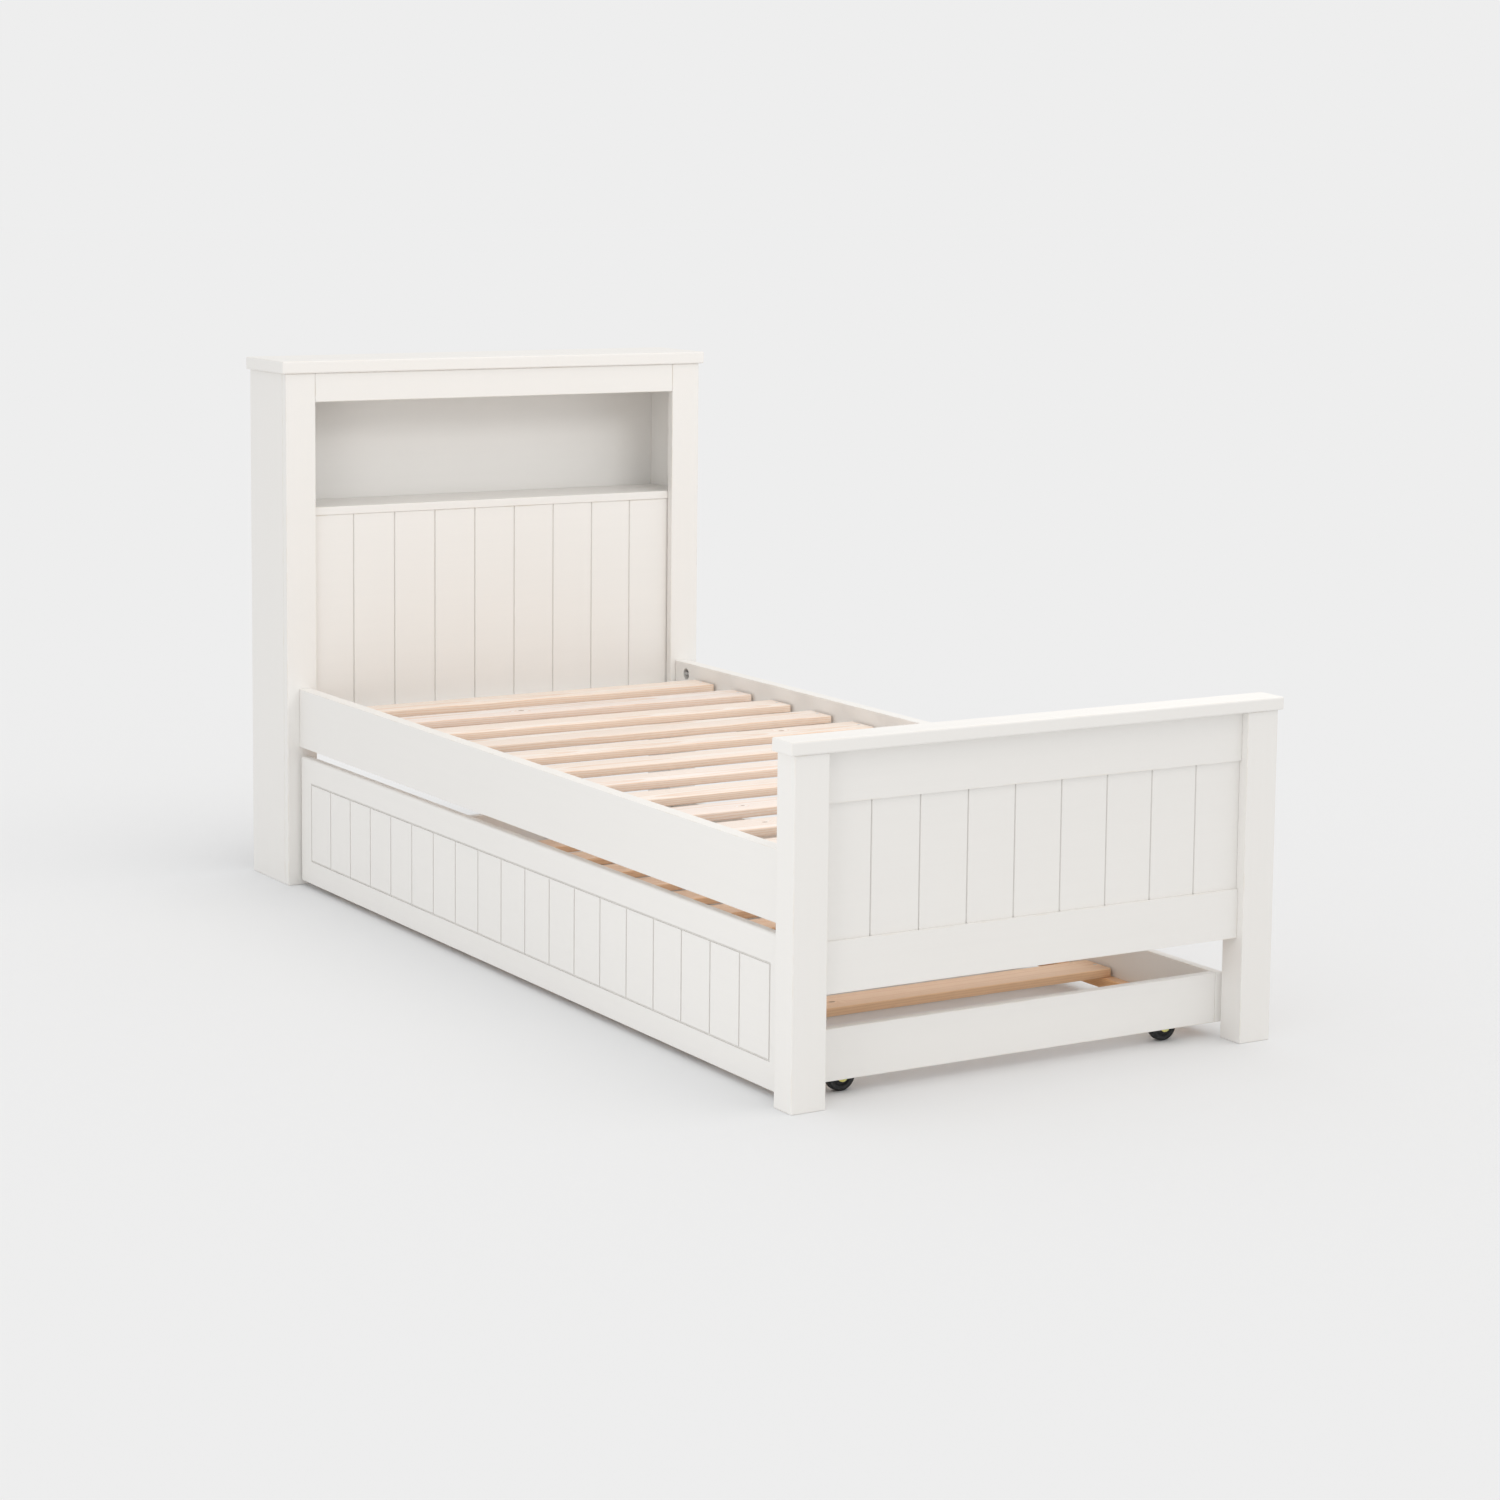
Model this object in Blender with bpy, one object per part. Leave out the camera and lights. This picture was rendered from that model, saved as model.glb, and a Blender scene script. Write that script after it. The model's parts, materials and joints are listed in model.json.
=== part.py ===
"""Single trundle bed: a bookcase headboard, a panelled footboard, slatted bed frame and a rolling underbed trundle.

Frame: metres, +Z up, origin on the floor at the centre of the whole bed. The headboard is at +Y, the footboard
at -Y, and the trundle rolls out towards -X on four fixed castors.
"""

import math

import bmesh
import bpy
from mathutils import Matrix, Vector

# ---- Mattresses and the space they need ----
MATTRESS_LENGTH = 2.000
MATTRESS_WIDTH = 0.900
MATTRESS_END_ROOM = 0.009
MATTRESS_SIDE_ROOM = 0.012

# ---- Joinery ----
TOUCH = 0.0003
EASED_EDGE = 0.0015
SOFT_EDGE = 0.003
EDGE_STEPS = 2
SHARP_ANGLE = 50
FLAT_ANGLE = 1
MERGE_DISTANCE = 0.000001
PANEL_HOUSING = 0.007
HOUSING_PLAY = 0.0005

# ---- Boards of the two panelled ends ----
END_BOARD_COUNT = 9
END_BOARD_THICKNESS = 0.012
V_GROOVE_HALF_WIDTH = 0.002
V_GROOVE_DEPTH = 0.003

# ---- Headboard with its open shelf ----
HEAD_HEIGHT = 1.141
HEAD_DEPTH = 0.192
HEAD_CAP_THICKNESS = 0.027
HEAD_CAP_FRONT_OVERHANG = 0.007
CAP_SIDE_OVERHANG = 0.010
STILE_WIDTH = 0.069
STILE_THICKNESS = 0.019
HEAD_SIDE_THICKNESS = 0.018
HEAD_TOP_RAIL_HEIGHT = 0.062
SHELF_TOP = 0.822
SHELF_THICKNESS = 0.018
SHELF_NOSE = 0.002
HEAD_BACK_THICKNESS = 0.006
HEAD_BOTTOM = 0.300
HEAD_BOTTOM_RAIL_HEIGHT = 0.072

# ---- Footboard ----
FOOT_HEIGHT = 0.631
POST_WIDTH = 0.068
POST_DEPTH = 0.056
FOOT_CAP_THICKNESS = 0.024
FOOT_CAP_FRONT_OVERHANG = 0.005
FOOT_CAP_BACK_OVERHANG = 0.003
FOOT_TOP_RAIL_HEIGHT = 0.089
FOOT_BOTTOM_RAIL_HEIGHT = 0.090
FOOT_BOTTOM = 0.193
FOOT_RAIL_THICKNESS = 0.024
FOOT_RAIL_SETBACK = 0.016
FOOT_BOARD_SETBACK = 0.005

# ---- Side rails and the slatted base ----
RAIL_TOP = 0.431
RAIL_HEIGHT = 0.127
RAIL_THICKNESS = 0.028
RAIL_INSET = 0.028
BOLT_POCKET_RADIUS = 0.013
BOLT_POCKET_DEPTH = 0.016
BOLT_FROM_RAIL_END = 0.050
BOLT_BELOW_RAIL_TOP = 0.026
SLAT_COUNT = 12
SLAT_WIDTH = 0.082
SLAT_THICKNESS = 0.016
SLAT_BELOW_RAIL_TOP = 0.031
SLAT_END_GAP = 0.006
HEAD_SLAT_GAP = 0.1037
FOOT_SLAT_GAP = 0.016
LEDGER_WIDTH = 0.024
LEDGER_HEIGHT = 0.034

# ---- Trundle ----
TRUNDLE_TOP_GAP = 0.019
TRUNDLE_FLOOR_GAP = 0.012
TRUNDLE_END_GAP = 0.008
TRUNDLE_FRONT_THICKNESS = 0.022
TRUNDLE_CORNER_RADIUS = 0.006
TRUNDLE_CORNER_STEPS = 4
TRUNDLE_BACK_GAP = 0.001
TRUNDLE_WALL = 0.018
TRUNDLE_WALL_BOTTOM = 0.027
TRUNDLE_WALL_HEIGHT = 0.092
TRUNDLE_LEDGER_HEIGHT = 0.021
TRUNDLE_SLAT_COUNT = 11
TRUNDLE_HEAD_SLAT_GAP = 0.073
TRUNDLE_FOOT_SLAT_GAP = 0.284
TRUNDLE_SLAT_END_GAP = 0.003
FRONT_BOARD_COUNT = 19
FRONT_GROOVE_WIDTH = 0.004
FRONT_GROOVE_DEPTH = 0.003
FRONT_FRAME_SIDE = 0.053
FRONT_FRAME_TOP = 0.054
FRONT_FRAME_BOTTOM = 0.051

# ---- Castors ----
WHEEL_RADIUS = 0.028
WHEEL_WIDTH = 0.018
WHEEL_TREAD_EASE = 0.003
WHEEL_SIDES = 48
WHEEL_FROM_FRONT = 0.106
WHEEL_FROM_BACK = 0.098
AXLE_RADIUS = 0.004
WHEEL_HUB_RADIUS = 0.011
WHEEL_TYRE_INNER = 0.019
WHEEL_DISH = 0.003
ROUND_SIDES = 24
BRACKET_STEEL = 0.002
BRACKET_WIDTH = 0.044
BRACKET_EAR_RADIUS = 0.011
BRACKET_SIDE_PLAY = 0.001
BRACKET_TOP_PLAY = 0.004
BRACKET_PLATE_RISE = 0.026
EAR_STEPS = 12

# ---- Places that follow from the sizes above ----
CLEAR_LENGTH = MATTRESS_LENGTH + MATTRESS_END_ROOM
CLEAR_WIDTH = MATTRESS_WIDTH + MATTRESS_SIDE_ROOM
OVERALL_LENGTH = FOOT_CAP_FRONT_OVERHANG + POST_DEPTH + CLEAR_LENGTH + HEAD_DEPTH
HEAD_BACK = OVERALL_LENGTH / 2
HEAD_FACE = HEAD_BACK - HEAD_DEPTH
FOOT_FACE = HEAD_FACE - CLEAR_LENGTH
POST_FRONT = FOOT_FACE - POST_DEPTH
MIDDLE = (HEAD_FACE + FOOT_FACE) / 2
RAIL_INNER = CLEAR_WIDTH / 2
RAIL_OUTER = RAIL_INNER + RAIL_THICKNESS
BED_SIDE = RAIL_OUTER + RAIL_INSET
CAP_SIDE = BED_SIDE + CAP_SIDE_OVERHANG
RAIL_BOTTOM = RAIL_TOP - RAIL_HEIGHT
SLAT_TOP = RAIL_TOP - SLAT_BELOW_RAIL_TOP
SLAT_PITCH = (CLEAR_LENGTH - HEAD_SLAT_GAP - FOOT_SLAT_GAP - SLAT_WIDTH) / (SLAT_COUNT - 1)
FRONT_OUTER = -RAIL_OUTER
FRONT_INNER = FRONT_OUTER + TRUNDLE_FRONT_THICKNESS
FRONT_TOP = RAIL_BOTTOM - TRUNDLE_TOP_GAP
TRUNDLE_HALF_LENGTH = CLEAR_LENGTH / 2 - TRUNDLE_END_GAP
TRUNDLE_BACK = RAIL_INNER - TRUNDLE_BACK_GAP
WALL_TOP = TRUNDLE_WALL_BOTTOM + TRUNDLE_WALL_HEIGHT
WALL_FACE = TRUNDLE_HALF_LENGTH - TRUNDLE_WALL
TRUNDLE_SLAT_SPAN = 2 * WALL_FACE - TRUNDLE_HEAD_SLAT_GAP - TRUNDLE_FOOT_SLAT_GAP
TRUNDLE_SLAT_PITCH = (TRUNDLE_SLAT_SPAN - SLAT_WIDTH) / (TRUNDLE_SLAT_COUNT - 1)
TRUNDLE_SLAT_BOTTOM = TRUNDLE_WALL_BOTTOM + TRUNDLE_LEDGER_HEIGHT + TOUCH

WHITE_PAINT = {"color": (0.74, 0.70, 0.64), "roughness": 0.42, "metallic": 0.0}
PINE = {"color": (0.68, 0.42, 0.24), "roughness": 0.60, "metallic": 0.0}
BLACK_RUBBER = {"color": (0.015, 0.015, 0.016), "roughness": 0.65, "metallic": 0.0}
YELLOW_ZINC = {"color": (0.72, 0.52, 0.16), "roughness": 0.35, "metallic": 1.0}


def clear_scene():
    for obj in list(bpy.data.objects):
        bpy.data.objects.remove(obj, do_unlink=True)


def material(name, look):
    """A Principled material with one sub-part's colour, roughness and metallic value."""
    made = bpy.data.materials.new(name)
    made.use_nodes = True
    shader = made.node_tree.nodes["Principled BSDF"]
    shader.inputs["Base Color"].default_value = (*look["color"], 1)
    shader.inputs["Roughness"].default_value = look["roughness"]
    shader.inputs["Metallic"].default_value = look["metallic"]
    return made


def group(name, place):
    """An empty that carries the pieces of one assembly."""
    empty = bpy.data.objects.new(name, None)
    empty.location = place
    bpy.context.scene.collection.objects.link(empty)
    return empty


def piece(name, shape, place, look, parent, ease=EASED_EDGE):
    """One sub-part from a bmesh around its own origin, which lies at place in the world."""
    bmesh.ops.recalc_face_normals(shape, faces=shape.faces)
    mesh = bpy.data.meshes.new(name)
    shape.to_mesh(mesh)
    shape.free()
    mesh.materials.append(material(name, look))
    obj = bpy.data.objects.new(name, mesh)
    bpy.context.scene.collection.objects.link(obj)
    obj.parent = parent
    obj.location = Vector(place) - parent.location
    if ease:
        bevel = obj.modifiers.new("eased_edges", "BEVEL")
        bevel.width = ease
        bevel.segments = EDGE_STEPS
        bevel.limit_method = "ANGLE"
        bevel.angle_limit = math.radians(SHARP_ANGLE)
    return obj


def box_shape(low, high, centre):
    """A bmesh box between two world corners, around the given centre."""
    shape = bmesh.new()
    bmesh.ops.create_cube(shape, size=1)
    size = Vector(high) - Vector(low)
    middle = (Vector(high) + Vector(low)) / 2 - Vector(centre)
    bmesh.ops.scale(shape, vec=size, verts=shape.verts)
    bmesh.ops.translate(shape, vec=middle, verts=shape.verts)
    return shape


def box_between(one, other):
    """A bmesh box between any two opposite corners, around the origin."""
    low = [min(pair) for pair in zip(one, other)]
    high = [max(pair) for pair in zip(one, other)]
    return box_shape(low, high, (0, 0, 0))


def board(name, low, high, look, parent, ease=EASED_EDGE):
    """A sawn board between two world corners."""
    centre = (Vector(low) + Vector(high)) / 2
    return piece(name, box_shape(low, high, centre), centre, look, parent, ease)


def prism(outline, direction):
    """A bmesh prism: a closed outline of points, extruded by one vector."""
    shape = bmesh.new()
    face = shape.faces.new([shape.verts.new(point) for point in outline])
    swept = bmesh.ops.extrude_face_region(shape, geom=[face])
    moved = [item for item in swept["geom"] if isinstance(item, bmesh.types.BMVert)]
    bmesh.ops.translate(shape, vec=direction, verts=moved)
    return shape


def rod_shape(radius, length, sides):
    """A bmesh rod along Y, centred on its own middle."""
    shape = bmesh.new()
    bmesh.ops.create_cone(shape, cap_ends=True, segments=sides, radius1=radius, radius2=radius, depth=length,
                          matrix=Matrix.Rotation(math.radians(90), 4, "X"))
    return shape


def combine(obj, name, shape, place, operation):
    """Joins a helper's shape to a sub-part, or cuts it out."""
    bmesh.ops.recalc_face_normals(shape, faces=shape.faces)
    mesh = bpy.data.meshes.new(name)
    shape.to_mesh(mesh)
    shape.free()
    helper = bpy.data.objects.new(name, mesh)
    bpy.context.scene.collection.objects.link(helper)
    helper.location = place
    helper.hide_render = True
    helper.display_type = "WIRE"
    boolean = obj.modifiers.new(name, "BOOLEAN")
    boolean.object = helper
    boolean.operation = operation
    boolean.solver = "EXACT"
    return helper


# ---- Panels of tongued boards ----


def boarded_panel(name, half_width, half_opening, front, bottom, top, parent):
    """Upright tongued boards with a V groove at each joint. They show equally wide in the panel's opening."""
    pitch = 2 * half_opening / END_BOARD_COUNT
    outline = [(-half_width, 0, 0)]
    for joint in range(1, END_BOARD_COUNT):
        middle = -half_opening + joint * pitch
        outline.append((middle - V_GROOVE_HALF_WIDTH, 0, 0))
        outline.append((middle, V_GROOVE_DEPTH, 0))
        outline.append((middle + V_GROOVE_HALF_WIDTH, 0, 0))
    outline.append((half_width, 0, 0))
    outline.append((half_width, END_BOARD_THICKNESS, 0))
    outline.append((-half_width, END_BOARD_THICKNESS, 0))
    shape = prism(outline, (0, 0, top - bottom))
    piece(name, shape, (0, front, bottom), WHITE_PAINT, parent, ease=0)


def housed_rail(name, half_width, front, bottom, height, housing_at_top, parent):
    """A footboard rail whose inner edge has a groove that the tongued boards stand in."""
    depth = PANEL_HOUSING + HOUSING_PLAY
    back = FOOT_RAIL_THICKNESS
    near = FOOT_BOARD_SETBACK - TOUCH
    far = FOOT_BOARD_SETBACK + END_BOARD_THICKNESS + TOUCH
    edge = height if housing_at_top else 0
    floor = edge - depth if housing_at_top else depth
    other = 0 if housing_at_top else height
    outline = [(0, other), (0, edge), (near, edge), (near, floor), (far, floor), (far, edge), (back, edge),
               (back, other)]
    shape = prism([(-half_width, y, z) for y, z in outline], (2 * half_width, 0, 0))
    piece(name, shape, (0, front, bottom), WHITE_PAINT, parent, ease=0)


# ---- Headboard ----


def make_headboard():
    assembly = group("headboard", (0, (HEAD_FACE + HEAD_BACK) / 2, 0))
    under_cap = HEAD_HEIGHT - HEAD_CAP_THICKNESS - TOUCH
    behind_stile = HEAD_FACE + STILE_THICKNESS + TOUCH
    opening = BED_SIDE - STILE_WIDTH - TOUCH
    side_inner = BED_SIDE - HEAD_SIDE_THICKNESS
    back_face = HEAD_BACK - HEAD_BACK_THICKNESS
    for side, sign in (("left", -1), ("right", 1)):
        outer, inner = sign * BED_SIDE, sign * (BED_SIDE - STILE_WIDTH)
        board(f"head_stile_{side}", (min(outer, inner), HEAD_FACE, 0),
              (max(outer, inner), HEAD_FACE + STILE_THICKNESS, under_cap), WHITE_PAINT, assembly)
        inner = sign * side_inner
        board(f"head_side_{side}", (min(outer, inner), behind_stile, 0),
              (max(outer, inner), HEAD_BACK, under_cap), WHITE_PAINT, assembly)
    board("head_top_rail", (-opening, HEAD_FACE, under_cap - HEAD_TOP_RAIL_HEIGHT),
          (opening, HEAD_FACE + STILE_THICKNESS, under_cap), WHITE_PAINT, assembly)
    board("head_bottom_rail", (-opening, HEAD_FACE, HEAD_BOTTOM),
          (opening, HEAD_FACE + STILE_THICKNESS, HEAD_BOTTOM + HEAD_BOTTOM_RAIL_HEIGHT), WHITE_PAINT, assembly)
    board("head_cap", (-CAP_SIDE, HEAD_FACE - HEAD_CAP_FRONT_OVERHANG, HEAD_HEIGHT - HEAD_CAP_THICKNESS),
          (CAP_SIDE, HEAD_BACK, HEAD_HEIGHT), WHITE_PAINT, assembly, SOFT_EDGE)
    fit = side_inner - TOUCH
    board("head_shelf", (-fit, behind_stile, SHELF_TOP - SHELF_THICKNESS),
          (fit, back_face - TOUCH, SHELF_TOP), WHITE_PAINT, assembly)
    board("head_back_panel", (-fit, back_face, HEAD_BOTTOM), (fit, HEAD_BACK, under_cap), WHITE_PAINT, assembly, 0)
    boarded_panel("head_boards", fit, opening, behind_stile + SHELF_NOSE, HEAD_BOTTOM,
                  SHELF_TOP - SHELF_THICKNESS - TOUCH, assembly)


# ---- Footboard ----


def make_footboard():
    assembly = group("footboard", (0, (FOOT_FACE + POST_FRONT) / 2, 0))
    under_cap = FOOT_HEIGHT - FOOT_CAP_THICKNESS - TOUCH
    post_inner = BED_SIDE - POST_WIDTH
    rail_front = POST_FRONT + FOOT_RAIL_SETBACK
    board_front = rail_front + FOOT_BOARD_SETBACK
    top_rail_bottom = under_cap - FOOT_TOP_RAIL_HEIGHT
    bottom_rail_top = FOOT_BOTTOM + FOOT_BOTTOM_RAIL_HEIGHT
    board_low = bottom_rail_top - PANEL_HOUSING
    board_high = top_rail_bottom + PANEL_HOUSING
    for side, sign in (("left", -1), ("right", 1)):
        outer, inner = sign * BED_SIDE, sign * post_inner
        post = board(f"foot_post_{side}", (min(outer, inner), POST_FRONT, 0),
                     (max(outer, inner), FOOT_FACE, under_cap), WHITE_PAINT, assembly)
        deep = inner + sign * (PANEL_HOUSING + HOUSING_PLAY)
        open_end = inner - sign * POST_WIDTH / 2
        low = (min(deep, open_end), board_front - TOUCH, board_low - HOUSING_PLAY)
        high = (max(deep, open_end), board_front + END_BOARD_THICKNESS + TOUCH, board_high + HOUSING_PLAY)
        combine(post, f"post_housing_{side}", box_shape(low, high, (0, 0, 0)), (0, 0, 0), "DIFFERENCE")
    fit = post_inner - TOUCH
    housed_rail("foot_top_rail", fit, rail_front, top_rail_bottom, FOOT_TOP_RAIL_HEIGHT, False, assembly)
    housed_rail("foot_bottom_rail", fit, rail_front, FOOT_BOTTOM, FOOT_BOTTOM_RAIL_HEIGHT, True, assembly)
    boarded_panel("foot_boards", post_inner + PANEL_HOUSING, post_inner, board_front, board_low, board_high, assembly)
    board("foot_cap", (-CAP_SIDE, POST_FRONT - FOOT_CAP_FRONT_OVERHANG, FOOT_HEIGHT - FOOT_CAP_THICKNESS),
          (CAP_SIDE, FOOT_FACE + FOOT_CAP_BACK_OVERHANG, FOOT_HEIGHT), WHITE_PAINT, assembly, SOFT_EDGE)


# ---- Side rails, ledgers and slats ----


def bolt_pocket(rail, name, sign, along):
    """The round pocket in a rail's inner face where the connecting bolt is tightened."""
    shape = rod_shape(BOLT_POCKET_RADIUS, 2 * BOLT_POCKET_DEPTH, ROUND_SIDES)
    cutter = combine(rail, name, shape, (sign * RAIL_INNER, along, RAIL_TOP - BOLT_BELOW_RAIL_TOP), "DIFFERENCE")
    cutter.rotation_euler = (0, 0, math.radians(90))


def make_bed_frame():
    assembly = group("bed_frame", (0, MIDDLE, 0))
    head_end = HEAD_FACE - TOUCH
    foot_end = FOOT_FACE + TOUCH
    slat_bottom = SLAT_TOP - SLAT_THICKNESS
    for side, sign in (("left", -1), ("right", 1)):
        inner, outer = sign * RAIL_INNER, sign * RAIL_OUTER
        rail = board(f"side_rail_{side}", (min(inner, outer), foot_end, RAIL_BOTTOM),
                     (max(inner, outer), head_end, RAIL_TOP), WHITE_PAINT, assembly)
        bolt_pocket(rail, f"head_bolt_{side}", sign, HEAD_FACE - BOLT_FROM_RAIL_END)
        bolt_pocket(rail, f"foot_bolt_{side}", sign, FOOT_FACE + BOLT_FROM_RAIL_END)
        near, far = sign * (RAIL_INNER - TOUCH), sign * (RAIL_INNER - LEDGER_WIDTH)
        ledger_top = slat_bottom - TOUCH
        board(f"slat_ledger_{side}", (min(near, far), foot_end, ledger_top - LEDGER_HEIGHT),
              (max(near, far), head_end, ledger_top), WHITE_PAINT, assembly)
    reach = RAIL_INNER - SLAT_END_GAP
    for number in range(SLAT_COUNT):
        back = HEAD_FACE - HEAD_SLAT_GAP - number * SLAT_PITCH
        board(f"bed_slat_{number + 1:02d}", (-reach, back - SLAT_WIDTH, slat_bottom), (reach, back, SLAT_TOP),
              PINE, assembly)


# ---- Trundle ----


def on_span(value, low, high):
    """Whether a coordinate lies within a span."""
    return low - TOUCH / 2 < value < high + TOUCH / 2


class FrontGrooves:
    """Where the grooves of the trundle's front run, measured from the middle of the panel's outer face."""

    def __init__(self):
        half = FRONT_GROOVE_WIDTH / 2
        self.end = TRUNDLE_HALF_LENGTH - FRONT_FRAME_SIDE
        self.low = TRUNDLE_FLOOR_GAP + FRONT_FRAME_BOTTOM
        self.high = FRONT_TOP - FRONT_FRAME_TOP
        pitch = 2 * self.end / FRONT_BOARD_COUNT
        self.along = [-TRUNDLE_HALF_LENGTH]
        for number in range(FRONT_BOARD_COUNT + 1):
            middle = -self.end + number * pitch
            self.along += [middle - half, middle + half]
        self.along.append(TRUNDLE_HALF_LENGTH)
        self.up = [TRUNDLE_FLOOR_GAP, self.low - half, self.low + half,
                   self.high - half, self.high + half, FRONT_TOP]

    def depth(self, column, row):
        """How deep the panel's face lies in one cell of its grid. Outside the grid there is no panel."""
        last_column, last_row = len(self.along) - 2, len(self.up) - 2
        if not (0 <= column <= last_column and 0 <= row <= last_row):
            return TRUNDLE_FRONT_THICKNESS
        frame_groove = row in (1, 3) and 0 < column < last_column
        board_groove = row in (1, 2, 3) and column % 2 == 1
        return FRONT_GROOVE_DEPTH if frame_groove or board_groove else 0


def grooved_front(assembly):
    """The trundle's front: one panel whose routed grooves make a framed field of boards."""
    grooves = FrontGrooves()
    shape = bmesh.new()
    corners = {}

    def corner(depth, column, row):
        key = (depth, column, row)
        if key not in corners:
            corners[key] = shape.verts.new((depth, grooves.along[column], grooves.up[row]))
        return corners[key]

    columns, rows = len(grooves.along) - 1, len(grooves.up) - 1
    back = TRUNDLE_FRONT_THICKNESS
    for column in range(columns + 1):
        for row in range(rows + 1):
            here = grooves.depth(column, row)
            if column < columns and row < rows:
                for depth in (here, back):
                    shape.faces.new((corner(depth, column, row), corner(depth, column + 1, row),
                                     corner(depth, column + 1, row + 1), corner(depth, column, row + 1)))
            before = grooves.depth(column - 1, row)
            if before != here and row < rows:
                shape.faces.new((corner(here, column, row), corner(here, column, row + 1),
                                 corner(before, column, row + 1), corner(before, column, row)))
            below = grooves.depth(column, row - 1)
            if below != here and column < columns:
                shape.faces.new((corner(here, column, row), corner(here, column + 1, row),
                                 corner(below, column + 1, row), corner(below, column, row)))
    bmesh.ops.recalc_face_normals(shape, faces=shape.faces)
    bmesh.ops.dissolve_limit(shape, angle_limit=math.radians(FLAT_ANGLE), verts=shape.verts, edges=shape.edges)
    round_front_corners(shape)
    ease_front_rim(shape)
    piece("trundle_front", shape, (FRONT_OUTER, MIDDLE, 0), WHITE_PAINT, assembly, ease=0)


def round_front_corners(shape):
    """Rounds the four corners of the trundle's front."""
    tall = FRONT_TOP - TRUNDLE_FLOOR_GAP
    short = [edge for edge in shape.edges
             if all(abs(abs(vertex.co.y) - TRUNDLE_HALF_LENGTH) < TOUCH for vertex in edge.verts)
             and abs(edge.verts[0].co.z - edge.verts[1].co.z) < tall / 2]
    bmesh.ops.bevel(shape, geom=short, offset=TRUNDLE_CORNER_RADIUS, segments=TRUNDLE_CORNER_STEPS,
                     profile=0.5, affect="EDGES")


def ease_front_rim(shape):
    """Eases the outline of the trundle's front, before and behind, and leaves its grooves crisp."""
    end, low, high = TRUNDLE_HALF_LENGTH, TRUNDLE_FLOOR_GAP, FRONT_TOP
    rim = []
    for edge in shape.edges:
        level = abs(edge.verts[0].co.x - edge.verts[1].co.x) < TOUCH
        at_face = not on_span(edge.verts[0].co.x, TOUCH, TRUNDLE_FRONT_THICKNESS - TOUCH)
        inner = all(on_span(abs(vertex.co.y), 0, end - FRONT_FRAME_SIDE / 2)
                    and on_span(vertex.co.z, low + FRONT_FRAME_BOTTOM / 2, high - FRONT_FRAME_TOP / 2)
                    for vertex in edge.verts)
        turns = len(edge.link_faces) == 2 and edge.calc_face_angle() > math.radians(SHARP_ANGLE)
        if level and at_face and turns and not inner:
            rim.append(edge)
    bmesh.ops.bevel(shape, geom=rim, offset=EASED_EDGE, segments=EDGE_STEPS, profile=0.5, affect="EDGES")


def castor_bracket(name, place, inward, assembly):
    """A folded steel bracket, screwed to the wall: two cheeks with round ears, a roof and a riveted axle."""
    near_cheek = BRACKET_STEEL
    far_cheek = near_cheek + WHEEL_WIDTH + 2 * BRACKET_SIDE_PLAY
    depth = far_cheek + BRACKET_STEEL
    roof = WHEEL_RADIUS + BRACKET_TOP_PLAY
    plate_top = roof + BRACKET_PLATE_RISE
    half = BRACKET_WIDTH / 2
    outline = [(half, 0, plate_top), (-half, 0, plate_top), (-half, 0, BRACKET_EAR_RADIUS)]
    for step in range(EAR_STEPS + 1):
        angle = math.pi * (1 + step / EAR_STEPS)
        outline.append((BRACKET_EAR_RADIUS * math.cos(angle), 0, BRACKET_EAR_RADIUS * math.sin(angle)))
    outline.append((half, 0, BRACKET_EAR_RADIUS))
    bracket = piece(name, prism(outline, (0, inward * depth, 0)), place, YELLOW_ZINC, assembly, ease=0)
    beyond = BRACKET_WIDTH
    wheel_room = box_between((-beyond, inward * near_cheek, -beyond), (beyond, inward * far_cheek, roof))
    over_roof = box_between((-beyond, inward * near_cheek, roof + BRACKET_STEEL),
                            (beyond, inward * beyond, plate_top + beyond))
    combine(bracket, f"{name}_wheel_room", wheel_room, place, "DIFFERENCE")
    combine(bracket, f"{name}_over_roof", over_roof, place, "DIFFERENCE")
    axle_middle = Vector(place) + Vector((0, inward * depth / 2, 0))
    combine(bracket, f"{name}_axle", rod_shape(AXLE_RADIUS, depth, ROUND_SIDES), axle_middle, "UNION")


def castor_wheel(name, axle, assembly):
    """A solid wheel with a dished web and a rounded tread, turning about Y."""
    half = WHEEL_WIDTH / 2
    bore = AXLE_RADIUS + TOUCH
    web = half - WHEEL_DISH
    shoulder = WHEEL_RADIUS - WHEEL_TREAD_EASE
    outer_half = [(bore, half), (WHEEL_HUB_RADIUS, half), (WHEEL_HUB_RADIUS, web), (WHEEL_TYRE_INNER, web),
                  (WHEEL_TYRE_INNER, half), (shoulder, half), (WHEEL_RADIUS, half - WHEEL_TREAD_EASE)]
    profile = outer_half + [(radius, -across) for radius, across in reversed(outer_half)]
    shape = bmesh.new()
    ring = [shape.verts.new((0, across, -radius)) for radius, across in profile]
    edges = [shape.edges.new((ring[number - 1], ring[number])) for number in range(len(ring))]
    bmesh.ops.spin(shape, geom=ring + edges, cent=(0, 0, 0), axis=(0, 1, 0), dvec=(0, 0, 0),
                   angle=2 * math.pi, steps=WHEEL_SIDES, use_merge=True)
    bmesh.ops.remove_doubles(shape, verts=shape.verts, dist=MERGE_DISTANCE)
    piece(name, shape, axle, BLACK_RUBBER, assembly, ease=0)


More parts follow.
